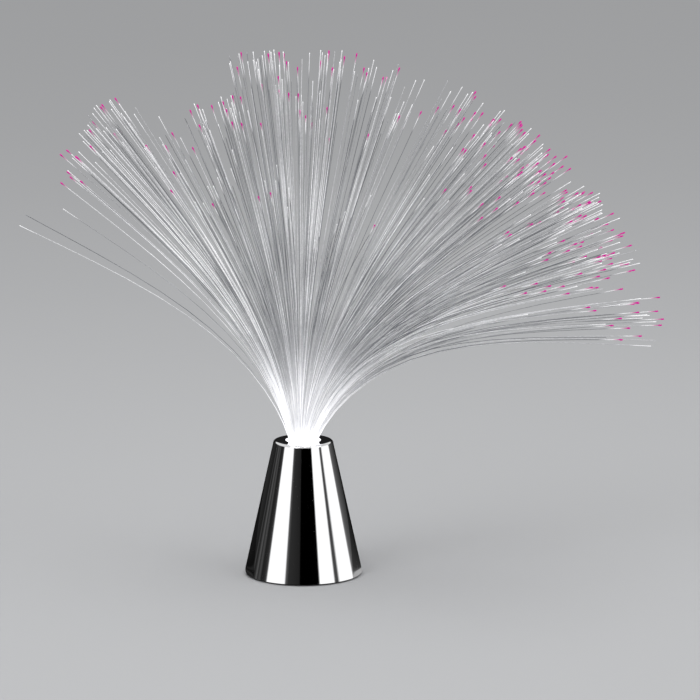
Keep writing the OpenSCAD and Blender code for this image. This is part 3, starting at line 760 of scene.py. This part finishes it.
@dataclass(frozen=True)
class LightFibre:
    """A clear plastic fibre that glows at its root and shines at its cut end, with that light also painted
    into its base colour.
    """

    bright: Colour = (0.96, 0.96, 0.98)
    dim: Colour = (0.24, 0.25, 0.27)
    magenta: Colour = (0.68, 0.004, 0.34)
    shade: Colour = (0.10, 0.0, 0.04)
    mouth_end: float = 0.075
    mouth_fall: float = 1.2
    root_end: float = 0.40
    shine_start: float = 0.93
    shine_full: float = 0.96
    red_start: float = 0.972
    red_full: float = 0.988
    streak_l: float = 2.2 * MM
    streaks: tuple[float, float] = (0.8, 1.15)
    root_painted_light: float = 0.45
    mouth_glow: float = 0.3
    tip_glow: float = 0.45
    shaft_glow: float = 0.36
    strength: float = 0.8
    coat: float = 0.3

    def material(self) -> bpy.types.Material:
        """Builds the material from what each strand's mesh says of itself.

        Returns:
            The material.
        """
        s = Shader("light_fibre")
        along, level, hue = s.attribute("along"), s.attribute("level"), s.attribute("hue")
        root = s.spread(along, 0.0, self.root_end, 1.0, 0.0)
        shine = s.math("MULTIPLY", s.spread(along, self.shine_start, self.shine_full, 0.0, 1.0),
                       s.math("GREATER_THAN", hue, Tip.WHITE.value - 0.5))
        red = s.math("MULTIPLY", s.spread(along, self.red_start, self.red_full, 0.0, 1.0),
                     s.math("GREATER_THAN", hue, Tip.MAGENTA.value - 0.5))
        mouth = s.math("POWER", s.spread(along, 0.0, self.mouth_end, 1.0, 0.0), self.mouth_fall)
        # brighter and darker streaks of painted light along the fibre, which also vary its roughness
        streak = s.spread(s.noise(self.streak_l, SOFT), 0.35, 0.65, *self.streaks)
        own = s.math("MULTIPLY", level, streak)
        # painted light: the base colour goes from dim grey to white with the fibre's own light, near its
        # glowing root and at a shining tip
        lifted = s.math("ADD", own, s.math("MULTIPLY", root, self.root_painted_light))
        painted_light_share = s.math("MINIMUM", s.math("MAXIMUM", lifted, shine), 1.0)
        s.set(Base_Color=s.mix(red, s.mix(painted_light_share, self.dim, self.bright), self.shade))
        lit_root = s.math("MULTIPLY", root, s.spread(own, 0.0, 0.8, 0.5, 1.0))
        lit_root = s.math("ADD", lit_root, s.math("MULTIPLY", mouth, self.mouth_glow))
        lit_tip = s.math("MULTIPLY", shine, self.tip_glow)
        lit_shaft = s.math("MULTIPLY", own, self.shaft_glow)
        glow = s.math("MAXIMUM", lit_root, s.math("MAXIMUM", lit_tip, lit_shaft))
        light = s.mix(red, s.mix(glow, BLACK, self.bright), self.magenta)
        s.set(Emission_Color=light, Emission_Strength=self.strength)
        s.set(Roughness=s.spread(streak, *self.streaks, 0.28, 0.16), Coat_Weight=self.coat)
        return s.material


# ------------------------------------------------------------------ the spray


class Tip(Enum):
    """How the cut end of a fibre looks: plain, or shining white or magenta with painted light."""

    PLAIN = 0.0
    WHITE = 1.0
    MAGENTA = 2.0

    @property
    def swelling(self) -> float:
        """How much wider the end's bead is than the fibre, in its radii."""
        return {Tip.PLAIN: 0.0, Tip.WHITE: 0.3, Tip.MAGENTA: 1.7}[self]


@dataclass
class Strand:
    """One fibre: where it is rooted, how it leans, and how it looks."""

    root: Vector
    lean_x: float
    lean_y: float
    length: float
    # how much light the fibre carries, painted into its colour as well as its glow
    level: float
    tip: Tip
    sway: float
    phase: float


@dataclass
class Spray:
    """The loose spray of fibres, in the eight slices of potting that the frame has."""

    sectors: int = 8
    core_r: float = 8.8 * MM
    root_z: float = 86.0 * MM
    potting_t: float = 1.5 * MM
    fibre_r: float = 0.24 * MM
    pitch: float = 0.66 * MM
    edge_gap: float = 0.2 * MM
    length: float = 262.0 * MM
    length_range: float = 0.12
    root_share: float = 0.25
    bend_power: float = 2.5
    spread_y: float = 49.0
    left_depth: float = 0.75
    gap_angle: float = -17.0
    gap_w: float = 7.0
    gap_short: float = 0.09
    right_edge: float = 22.0
    magenta_left: float = 0.25
    magenta_right: float = 0.5
    stray_shares: tuple[float, float] = (0.012, 0.975)
    stray_short: float = 0.095
    left_light: float = 1.5
    steps: int = 13
    sides: int = 3
    tufts: int = 80
    gather: float = 0.64
    gather_right: float = 0.42
    tuft_reach: float = 0.95
    tuft_drift: float = 1.6
    tuft_light: tuple[float, float] = (0.35, 1.15)
    jitter_x: float = 0.7
    jitter_y: float = 1.6
    upright: float = 30.0
    white_share: float = 0.4
    sway_mm: tuple[float, float] = (0.5, 3.0)
    sway_turn: float = 3.2
    sink: float = 0.6 * MM
    # how the leans to front and back, the lengths, the brightness and the rings are shared out
    depth_even: float = 0.6
    depth_curled: float = 0.4
    length_bias: float = 0.6
    level_bias: float = 1.3
    mark_power: float = 1.5
    slice_steps: int = 8
    seed: int = 7
    # shape of a polished end: distance from it, and the share of the bead's swelling there
    bead: Sequence[tuple[float, float]] = ((2.8 * MM, 0.0), (1.3 * MM, 1.0), (0.0, 0.75))
    # shares of the fibres, from left to right, that lean less than each angle
    leans: Sequence[tuple[float, float]] = (
        (0.0, -50.0), (0.008, -38.0), (0.14, -24.2), (0.17, -14.0), (0.38, 2.8), (0.57, 31.0),
        (0.91, 54.4), (0.97, 62.2), (1.0, 70.0),
    )
    draw: random.Random = field(init=False)

    def __post_init__(self) -> None:
        """Seeds the draws."""
        self.draw = random.Random(self.seed)

    @property
    def root_r(self) -> float:
        """Radius of the circle that the fibres are rooted in."""
        return self.core_r - self.fibre_r - self.edge_gap

    def roots(self) -> list[Vector]:
        """Places of the fibres in the potting, packed as round things pack.

        Returns:
            The places.
        """
        limit = self.root_r
        row_h = self.pitch * math.sqrt(3) / 2
        rows = int(limit / row_h)
        places = []
        for j in range(-rows, rows + 1):
            shift = self.pitch / 2 if j % 2 else 0.0
            count = int(limit / self.pitch) + 1
            for i in range(-count, count + 1):
                spot = Vector((i * self.pitch + shift, j * row_h, 0.0))
                if spot.length < limit:
                    places.append(spot)
        return places

    def lean_at(self, share: float) -> float:
        """Lean to the right, in degrees, below which that share of the fibres lies.

        Args:
            share: The share, from 0 to 1.

        Returns:
            The lean.
        """
        for (s0, a0), (s1, a1) in zip(self.leans, self.leans[1:]):
            if share <= s1:
                return a0 + (a1 - a0) * (share - s0) / (s1 - s0)
        return self.leans[-1][1]

    def share_left_of(self, x: float) -> float:
        """Share of the bundle's round section to the left of x."""
        p = max(-1.0, min(1.0, x / self.root_r))
        return (math.acos(-p) + p * math.sqrt(1 - p * p)) / math.pi

    def leaning(self, root: Vector) -> tuple[float, float]:
        """How a fibre would lean, in degrees to the right and back, if it stood alone.

        Args:
            root: Its place in the bundle.

        Returns:
            The two leans.
        """
        share = self.share_left_of(root.x)
        half_chord = math.sqrt(max(1e-9, self.core_r**2 - root.x**2))
        q = max(-1.0, min(1.0, root.y / half_chord))
        depth = self.spread_y * min(1.0, self.left_depth + share)
        return self.lean_at(share), depth * (self.depth_even * q + self.depth_curled * q**3)

    def strand(self, root: Vector, tufts: list[tuple[Vector, float, float]]) -> Strand:
        """Draws one fibre for its place in the bundle.

        Args:
            root: Its place.
            tufts: Middle, sideways drift and brightness of each tuft that the fibres gather in.

        Returns:
            The fibre.
        """
        middle, drift, light = min(tufts, key=lambda tuft: (tuft[0] - root).length)
        own, shared = self.leaning(root), self.leaning(middle)
        low, high = self.stray_shares
        stray = not low < self.share_left_of(root.x) < high
        gather = 0.0 if stray else self.gather if own[0] < self.right_edge else self.gather_right
        lean_x = own[0] + gather * (shared[0] - own[0] + drift) + self.draw.gauss(0.0, self.jitter_x)
        lean_y = own[1] + gather * (shared[1] - own[1]) + self.draw.gauss(0.0, self.jitter_y)
        lean_x = max(self.leans[0][1], min(self.leans[-1][1], lean_x))
        widest = self.leans[-1][1]
        if math.hypot(lean_x, lean_y) > widest:
            lean_y = math.copysign(math.sqrt(widest**2 - lean_x**2), lean_y)
        sideways = math.hypot(lean_x, lean_y)
        cut = 1 - self.draw.random() ** self.length_bias
        short = self.length_range * cut * min(1.0, sideways / self.upright)
        if stray and lean_x < 0:
            short = max(short, self.stray_short)
        elif abs(lean_x - self.gap_angle) < self.gap_w:
            short += self.gap_short
        favour = self.left_light if lean_x < self.gap_angle else 1.0
        level = light * self.draw.random() ** self.level_bias * favour
        magenta = self.magenta_right if lean_x > self.right_edge else self.magenta_left
        chance = self.draw.random()
        white = magenta + self.white_share
        tip = Tip.MAGENTA if chance < magenta else Tip.WHITE if chance < white else Tip.PLAIN
        sway = self.draw.uniform(*self.sway_mm) * MM
        phase = self.draw.uniform(0.0, math.tau)
        return Strand(root, lean_x, lean_y, self.length * (1 - short), level, tip, sway, phase)

    def marks(self) -> list[float]:
        """Shares of the shaft at which its rings stand, closer together where it bends most."""
        return [(i / self.steps) ** self.mark_power for i in range(self.steps + 1)]

    def points(self, strand: Strand) -> list[Vector]:
        """The fibre's line, one point for each ring of its tube.

        Args:
            strand: The fibre.

        Returns:
            The points, from its root.
        """
        heading = math.atan2(strand.lean_y, strand.lean_x)
        rooted, power = self.root_share, self.bend_power
        chord_share = rooted + (1 - rooted) * power / (power + 1)
        full = math.radians(math.hypot(strand.lean_x, strand.lean_y)) / chord_share
        out = Vector((math.cos(heading), math.sin(heading), 0.0))
        side = Vector((-out.y, out.x, 0.0))
        here = Vector((strand.root.x, strand.root.y, self.root_z + self.potting_t))
        shaft = strand.length - self.bead[0][0]
        spots = [here - Vector((0.0, 0.0, self.sink)), here.copy()]
        marks = self.marks()
        for low, high in zip(marks, marks[1:]):
            u = (low + high) / 2
            tilt = full * (rooted + (1 - rooted) * (1 - (1 - u) ** power))
            aim = math.sin(tilt) * out + math.cos(tilt) * Vector((0.0, 0.0, 1.0))
            here = here + shaft * (high - low) * aim
            drift = strand.sway * math.sin(strand.phase + self.sway_turn * u) * u * u
            spots.append(here + side * drift)
        end = spots[-1]
        return spots + [end + (self.bead[0][0] - back) * aim for back, _ in self.bead[1:]]

    def template(self) -> bmesh.types.BMesh:
        """A straight tube of unit radius, one ring for each point, that every strand bends.

        Returns:
            The tube.
        """
        bm = bmesh.new()
        bmesh.ops.create_circle(bm, cap_ends=True, segments=self.sides, radius=1.0)
        face = bm.faces[:]
        for step in range(self.steps + len(self.bead)):
            grown = bmesh.ops.extrude_face_region(bm, geom=face, use_keep_orig=step == 0)
            verts = [g for g in grown["geom"] if isinstance(g, bmesh.types.BMVert)]
            face = [g for g in grown["geom"] if isinstance(g, bmesh.types.BMFace)]
            bmesh.ops.translate(bm, verts=verts, vec=(0.0, 0.0, 1.0))
        bmesh.ops.recalc_face_normals(bm, faces=bm.faces)
        return bm

    def bend(self, bm: bmesh.types.BMesh, first: int, strand: Strand) -> None:
        """Bends the tube whose vertices start at a number along a strand's line.

        Args:
            bm: The sector's bmesh.
            first: Number of the tube's first vertex.
            strand: The strand.
        """
        along = bm.verts.layers.float["along"]
        level = bm.verts.layers.float["level"]
        hue = bm.verts.layers.float["hue"]
        spots = self.points(strand)
        last = len(spots) - 1
        aims = [(spots[min(i + 1, last)] - spots[max(i - 1, 0)]).normalized() for i in range(last + 1)]
        heading = math.atan2(strand.lean_y, strand.lean_x)
        across = Vector((-math.sin(heading), math.cos(heading), 0.0))
        shaft = self.steps + 1
        swell = [1.0] * shaft + [1 + share * strand.tip.swelling for _, share in self.bead]
        shares = [0.0] + [mark * (1 - self.bead[0][0] / strand.length) for mark in self.marks()]
        shares += [1 - back / strand.length for back, _ in self.bead[1:]]
        for vert in bm.verts[first:]:
            ring = int(round(vert.co.z))
            aim = aims[ring]
            up = across.cross(aim).normalized()
            beside = aim.cross(up)
            r = self.fibre_r * swell[ring]
            vert.co = spots[ring] + r * (vert.co.x * up + vert.co.y * beside)
            vert[along] = shares[ring]
            vert[level] = strand.level
            vert[hue] = strand.tip.value

    def slice(self, bm: bmesh.types.BMesh, k: int) -> None:
        """Adds one sector's slice of the potting disc.

        Args:
            bm: The sector's bmesh.
            k: Number of the sector, from 0.
        """
        span = math.tau / self.sectors
        before = set(bm.verts)
        corners = [(0.0, 0.0), (self.core_r, 0.0), (self.core_r, self.potting_t), (0.0, self.potting_t)]
        verts = [bm.verts.new((x, 0.0, self.root_z + z)) for x, z in corners]
        face = bm.faces.new(verts)
        bmesh.ops.rotate(bm, verts=verts, cent=(0, 0, 0), matrix=Matrix.Rotation(span * k, 3, "Z"))
        bmesh.ops.spin(bm, geom=[face], cent=(0, 0, 0), axis=(0, 0, 1), angle=span, steps=self.slice_steps,
                       use_duplicate=False)
        fresh = [v for v in bm.verts if v not in before]
        bmesh.ops.remove_doubles(bm, verts=fresh, dist=WELD)
        fresh = [f for f in bm.faces if not before.intersection(f.verts)]
        bmesh.ops.recalc_face_normals(bm, faces=fresh)

    def build(self) -> None:
        """Builds the eight sector pieces."""
        tube = self.template()
        straight = bpy.data.meshes.new("straight_fibre")
        tube.to_mesh(straight)
        tube.free()
        strands: list[list[Strand]] = [[] for _ in range(self.sectors)]
        reach = self.core_r * self.tuft_reach
        tufts = []
        for _ in range(self.tufts):
            r, a = reach * math.sqrt(self.draw.random()), self.draw.uniform(0.0, math.tau)
            middle = Vector((r * math.cos(a), r * math.sin(a), 0.0))
            drift = self.draw.gauss(0.0, self.tuft_drift)
            tufts.append((middle, drift, self.draw.uniform(*self.tuft_light)))
        for root in self.roots():
            k = int((math.atan2(root.y, root.x) % math.tau) / (math.tau / self.sectors)) % self.sectors
            strands[k].append(self.strand(root, tufts))
        finish = LightFibre().material()
        for k, group in enumerate(strands):
            bm = bmesh.new()
            for name in ("along", "level", "hue"):
                bm.verts.layers.float.new(name)
            for strand in group:
                first = len(bm.verts)
                bm.from_mesh(straight)
                bm.verts.ensure_lookup_table()
                self.bend(bm, first, strand)
            self.slice(bm, k)
            piece = mesh_object(f"fibre_spray_{k + 1}", bm)
            piece.data.materials.append(finish)
            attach(piece, "spray")
            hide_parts(f"spray_{k + 1}")
            log.info("%s has %d fibres", piece.name, len(group))
        bpy.data.meshes.remove(straight)


# ------------------------------------------------------------------ the housing and its insides


@dataclass
class Housing:
    """The chromed cone, its bottom cover and what stands or turns on them."""

    foot_r: float = 39.0 * MM
    top_r: float = 19.5 * MM
    foot_z: float = 1.2 * MM
    top_z: float = 90.0 * MM

    def dress(self) -> None:
        """Gives the housing's nodes their finishes."""
        slope = (self.foot_r - self.top_r) / (self.top_z - self.foot_z)
        cover = Moulding("cover_moulding", colour=(0.034, 0.034, 0.036), worn=(0.044, 0.044, 0.046),
                         roughness=0.48)
        door = Moulding("door_moulding", colour=(0.045, 0.045, 0.047), worn=(0.056, 0.056, 0.058),
                        roughness=0.4, grain=0.5 * MM)
        rubber = Moulding("foot_rubber", colour=(0.012, 0.012, 0.012), worn=(0.035, 0.034, 0.032),
                          roughness=0.8, grain=0.6 * MM, depth=0.06 * MM)
        dress_nodes({
            "base_shell": ConeChrome(self.foot_r, slope, self.foot_z, self.top_z).material(),
            "base_plate": cover.material(),
            "battery_door": door.material(),
            "foot_ring": rubber.material(),
            "plate_screws": screw_zinc("zinc_screw"),
        })


@dataclass
class PowerPack:
    """Three cells in their tray, with springs, contact plates and leads."""

    cell_half_l: float = 22.25 * MM
    cell_names: Sequence[str] = ("cell_1", "cell_2", "cell_3")
    terminal_half_w: float = 0.4 * MM
    pad_r: float = 14.0 * MM
    pad_z: float = 44.4 * MM
    feed_angle: float = -52.0
    return_angle: float = 20.0

    def tab(self, contact: str) -> Vector:
        """Top of a contact plate's tab, where its lead is soldered."""
        low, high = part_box(contact)
        return Vector(((low.x + high.x) / 2, (low.y + high.y) / 2, high.z))

    def board_pad(self, angle: float) -> Vector:
        """Place on the board's underside at that angle, where a lead is soldered."""
        turn = math.radians(angle)
        return Vector((self.pad_r * math.cos(turn), self.pad_r * math.sin(turn), self.pad_z))

    def dress(self) -> None:
        """Gives the cells, contacts and leads their finishes."""
        jacket = CellJacket(self.cell_half_l)
        finishes = {}
        for number, name in enumerate(self.cell_names):
            low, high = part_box(name)
            nub_side = -1 if number % 2 == 0 else 1
            finishes[name] = jacket.material(f"{name}_jacket", (low.x + high.x) / 2, nub_side)
        nickel = Metal("nickel_strip", colour=(0.74, 0.72, 0.68), tarnish=(0.55, 0.52, 0.46),
                       roughness=0.3, streak=(1.0, 1.0, 0.2)).material()
        wire = Metal("spring_wire", colour=(0.78, 0.77, 0.75), tarnish=(0.6, 0.59, 0.56),
                     roughness=0.22).material()
        for name in ("contact_positive", "contact_negative", "bridge_left", "bridge_right"):
            finishes[name] = nickel
        for name in ("spring_1", "spring_2", "spring_3"):
            finishes[name] = wire
        red, black = (0.42, 0.012, 0.012), (0.014, 0.014, 0.015)
        low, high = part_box("switch_terminals")
        middle = (low + high) / 2
        first = Vector((low.x + self.terminal_half_w, middle.y, high.z))
        second = Vector((middle.x, middle.y, high.z))
        for name, colour, start, end in (
            ("wire_positive", red, first, self.tab("contact_positive")),
            ("wire_switched", red, second, self.board_pad(self.feed_angle)),
            ("wire_negative", black, self.tab("contact_negative"), self.board_pad(self.return_angle)),
        ):
            finishes[name] = LeadJacket(f"{name}_sleeve", colour, (start, end)).material()
        dress_nodes(finishes)


@dataclass
class SlideSwitch:
    """The slide switch in the bottom cover."""

    def dress(self) -> None:
        """Gives the switch's nodes their finishes."""
        can = Metal("tinned_can", colour=(0.7, 0.7, 0.7), tarnish=(0.52, 0.52, 0.5),
                    roughness=0.26, streak=(0.15, 1.0, 1.0))
        paper = Moulding("phenolic_paper", colour=(0.16, 0.06, 0.02), worn=(0.23, 0.1, 0.035),
                         roughness=0.5, grain=0.5 * MM)
        brass = Metal("terminal_brass", colour=(0.78, 0.56, 0.22), tarnish=(0.55, 0.36, 0.14),
                      roughness=0.3)
        lever = Moulding("lever_acetal", colour=(0.014, 0.014, 0.015), worn=(0.025, 0.025, 0.026),
                         roughness=0.34)
        dress_nodes({
            "switch_can": can.material(),
            "switch_insulator": paper.material(),
            "switch_terminals": brass.material(),
            "switch_lever": lever.material(),
            "switch_screws": screw_zinc("switch_screw"),
        })


@dataclass
class LightEngine:
    """The board with its three lamps, and the bush, ferrule and potting above it."""

    board_r: float = 19.0 * MM
    board_top: float = 46.0 * MM
    chip_half_w: float = 2.02 * MM
    resistor_r: float = 11.0 * MM
    resistor_half_l: float = 1.6 * MM
    lit_bush_h: float = 14.0 * MM
    core_pitch: float = 0.6 * MM

    def dress(self) -> None:
        """Gives the light engine's nodes their finishes."""
        core_low, core_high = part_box("bundle_core")
        _, bush_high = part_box("fibre_bush")
        red = LampResin("red_lamp", tint=(0.7, 0.1, 0.1), glow=(1.0, 0.12, 0.1), base_z=self.board_top)
        green = LampResin("green_lamp", tint=(0.12, 0.7, 0.2), glow=(0.15, 1.0, 0.25), base_z=self.board_top)
        blue = LampResin("blue_lamp", tint=(0.1, 0.2, 0.8), glow=(0.15, 0.3, 1.0), base_z=self.board_top)
        tube = Metal("drawn_aluminium", colour=(0.82, 0.83, 0.84), tarnish=(0.7, 0.7, 0.7),
                     roughness=0.24, streak=(1.0, 1.0, 0.05))
        dress_nodes({
            "led_board": SolderMask(self.board_r).material(),
            "led_red": red.material(),
            "led_green": green.material(),
            "led_blue": blue.material(),
            "driver_chip": ChipBody(self.chip_half_w).material(),
            "resistors": ChipResistor(self.resistor_r, self.resistor_half_l).material(),
            "board_screws": screw_zinc("board_screw"),
            "fibre_bush": LitSilicone(bush_high.z - self.lit_bush_h, bush_high.z).material(),
            "ferrule": tube.material(),
            "bundle_core": PolishedPotting(self.core_pitch, core_low.z, core_high.z).material(),
        })


def screw_zinc(name: str) -> bpy.types.Material:
    """The zinc-plated steel of a set of screws, under its own name."""
    return Metal(name, colour=(0.66, 0.67, 0.68), tarnish=(0.5, 0.5, 0.48), roughness=0.3).material()


def dress_nodes(finishes: dict[str, bpy.types.Material]) -> None:
    """Puts a material on each named node of the frame.

    Args:
        finishes: The material for each node.
    """
    for name, material in finishes.items():
        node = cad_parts[name]
        for slot in node.material_slots:
            slot.material = material
        log.info("%s wears %s", name, material.name)


# ------------------------------------------------------------------ the studio


@dataclass
class Studio:
    """Floor, air, lamps, reflection cards and the camera at the photograph's angle."""

    photo_px: int = 700
    mm_per_px: float = 0.658
    axis_px: float = 303.0
    mouth_px: float = 440.15
    mouth_z: float = 90.0 * MM
    elevation: float = 11.2
    distance: float = 3.0
    pale: Colour = (0.46, 0.465, 0.475)
    floor_half_w: float = 40.0
    floor_mottle: float = 0.4
    floor_shade: float = 0.985
    floor_rough: float = 0.9
    air: float = 0.72
    drum_r: float = 0.45
    drum_top: float = 0.26
    drum_sides: int = 96
    drum_level: float = 1.12
    mat_sides: int = 64
    mat_level: float = 0.4
    mat_z: float = 0.3 * MM
    mat_hole_r: float = 42.0 * MM
    # brightness that the chrome mirrors at each azimuth in degrees, 0 towards the camera
    mirrored: Sequence[tuple[float, float]] = (
        (-180, 0.012), (-136, 0.02), (-117, 0.012), (-113, 0.05), (-110, 0.012), (-105, 0.03),
        (-101, 0.085), (-97.5, 0.02), (-92, 0.06), (-87, 0.012), (-79, 0.02), (-74, 0.06),
        (-71.5, 1.0), (-35.5, 1.0), (-33.5, 0.09), (-28, 0.024), (-7.5, 0.014), (-5.5, 0.0),
        (30, 0.0), (32, 1.0), (60, 1.0), (62.5, 0.05), (69, 0.06), (73.5, 1.0),
        (108, 1.0), (110.5, 0.2), (116, 0.09), (128, 0.06), (145, 0.03), (162, 0.01),
        (180, 0.012),
    )
    # name, place, width in metres and power in watts of each lamp, and where they all point
    lamps: Sequence[tuple[str, Place, float, float]] = (
        ("key_lamp", (-0.9, -1.1, 1.5), 1.0, 9.0),
        ("fill_lamp", (1.2, -0.7, 1.1), 1.0, 4.0),
        ("top_lamp", (0.15, 0.1, 1.6), 0.7, 6.0),
    )
    lit_centre: Place = (0.02, 0.0, 0.12)
    sensor_w: float = 36.0
    clip_near: float = 0.1
    clip_far: float = 200.0

    def floor(self) -> None:
        """Lays a wide pale floor."""
        bm = bmesh.new()
        bmesh.ops.create_grid(bm, x_segments=8, y_segments=8, size=self.floor_half_w)
        ground = mesh_object("studio_floor", bm, smooth=False)
        s = Shader("pale_floor")
        shaded = tuple(self.floor_shade * c for c in self.pale)
        s.set(Base_Color=s.mix(s.noise(self.floor_mottle, SOFT), self.pale, shaded))
        s.set(Roughness=self.floor_rough)
        s.surface.inputs["Specular IOR Level"].default_value = 0.0
        ground.data.materials.append(s.material)

    def drum(self) -> None:
        """Stands a drum of light and dark cards round the lamp, seen by glossy rays alone."""
        bm = bmesh.new()
        bmesh.ops.create_cone(bm, cap_ends=False, segments=self.drum_sides, depth=self.drum_top,
                              radius1=self.drum_r, radius2=self.drum_r)
        bmesh.ops.translate(bm, verts=bm.verts, vec=(0.0, 0.0, self.drum_top / 2))
        drum = mesh_object("studio_drum", bm)
        s = self.reflection_only(drum)
        s.set(Emission_Color=self.cards(s), Emission_Strength=self.drum_level)

    def cards(self, s: Shader) -> Socket:
        """The brightness of the cards, by the azimuth at which they stand.

        Args:
            s: The shader.

        Returns:
            The brightness.
        """
        x, y, _ = s.axes()
        azimuth = s.math("ARCTAN2", x, s.math("MULTIPLY", y, -1.0))
        turn = s.spread(azimuth, -math.pi, math.pi, 0.0, 1.0)
        stops = [((angle + 180) / 360, (level, level, level)) for angle, level in self.mirrored]
        return s.ramp(turn, stops)

    def mat(self) -> None:
        """Lays a mat that carries the cards on under the lamp, for glossy rays alone."""
        bm = bmesh.new()
        inner = bm.verts.new((self.mat_hole_r, 0.0, self.mat_z))
        outer = bm.verts.new((self.drum_r, 0.0, self.mat_z))
        edge = bm.edges.new((inner, outer))
        bmesh.ops.spin(bm, geom=[inner, outer, edge], cent=(0, 0, 0), axis=(0, 0, 1), angle=math.tau,
                       steps=self.mat_sides, use_merge=True, use_duplicate=False)
        s = self.reflection_only(mesh_object("studio_mat", bm, smooth=False))
        s.set(Emission_Color=self.cards(s), Emission_Strength=self.mat_level)

    def reflection_only(self, flag: bpy.types.Object) -> Shader:
        """Makes a stage piece that only reflections show, and starts its black material.

        Args:
            flag: The stage piece.

        Returns:
            Its shader.
        """
        s = Shader(flag.name)
        s.set(Base_Color=BLACK)
        s.surface.inputs["Specular IOR Level"].default_value = 0.0
        flag.data.materials.append(s.material)
        flag.visible_camera = flag.visible_diffuse = flag.visible_shadow = False
        flag.visible_transmission = flag.visible_volume_scatter = False
        return s

    def lamp(self, name: str, place: Vector, aim: Vector, size: float, power: float) -> None:
        """Hangs one soft square lamp.

        Args:
            name: Its name.
            place: Where it hangs.
            aim: The point that it faces.
            size: Its width in metres.
            power: Its power in watts.
        """
        data = bpy.data.lights.new(name, "AREA")
        data.shape = "SQUARE"
        data.size = size
        data.energy = power
        light = bpy.data.objects.new(name, data)
        light.location = place
        light.rotation_euler = (aim - place).to_track_quat("-Z", "Y").to_euler()
        bpy.context.scene.collection.objects.link(light)

    def air_light(self) -> None:
        """Lights everything evenly, with the floor's own look behind it all."""
        world = bpy.data.worlds.new("studio_air")
        bpy.context.scene.world = world
        world.use_nodes = True
        tree = world.node_tree
        tree.nodes.clear()
        seen = tree.nodes.new("ShaderNodeBackground")
        lit = tree.nodes.new("ShaderNodeBackground")
        path = tree.nodes.new("ShaderNodeLightPath")
        mix = tree.nodes.new("ShaderNodeMixShader")
        either = tree.nodes.new("ShaderNodeMath")
        either.operation = "MAXIMUM"
        output = tree.nodes.new("ShaderNodeOutputWorld")
        seen.inputs["Color"].default_value = (*self.pale, 1.0)
        lit.inputs["Color"].default_value = (self.air, self.air, self.air, 1.0)
        tree.links.new(path.outputs["Is Camera Ray"], either.inputs[0])
        tree.links.new(path.outputs["Is Transmission Ray"], either.inputs[1])
        tree.links.new(either.outputs[0], mix.inputs[0])
        tree.links.new(lit.outputs[0], mix.inputs[1])
        tree.links.new(seen.outputs[0], mix.inputs[2])
        tree.links.new(mix.outputs[0], output.inputs["Surface"])

    def camera(self) -> None:
        """Sets the camera where the photograph was taken from, with a long lens."""
        data = bpy.data.cameras.new("photo_camera")
        view_w = self.photo_px * self.mm_per_px * MM
        data.sensor_width = self.sensor_w
        data.lens = data.sensor_width * self.distance / view_w
        data.clip_start = self.clip_near
        data.clip_end = self.clip_far
        tilt = math.radians(self.elevation)
        middle = self.photo_px / 2
        right = (middle - self.axis_px) * self.mm_per_px * MM
        above = (self.mouth_px - middle) * self.mm_per_px * MM / math.cos(tilt)
        aim = Vector((right, 0.0, self.mouth_z + above))
        back = Vector((0.0, -math.cos(tilt), math.sin(tilt)))
        camera = bpy.data.objects.new("photo_camera", data)
        camera.location = aim + back * self.distance
        camera.rotation_euler = (math.radians(90.0 - self.elevation), 0.0, 0.0)
        bpy.context.scene.collection.objects.link(camera)
        bpy.context.scene.camera = camera

    def build(self) -> None:
        """Sets up the whole studio."""
        self.floor()
        self.drum()
        self.mat()
        self.air_light()
        for name, place, size, power in self.lamps:
            self.lamp(name, Vector(place), Vector(self.lit_centre), size, power)
        self.camera()
        view = bpy.context.scene.view_settings
        view.view_transform = "Standard"


def main() -> None:
    """Builds the lamp round its frame, then the studio."""
    logging.basicConfig(level=logging.INFO, format="%(name)s: %(message)s")
    Housing().dress()
    PowerPack().dress()
    SlideSwitch().dress()
    LightEngine().dress()
    Spray().build()
    Studio().build()


if __name__ == "__main__":
    main()
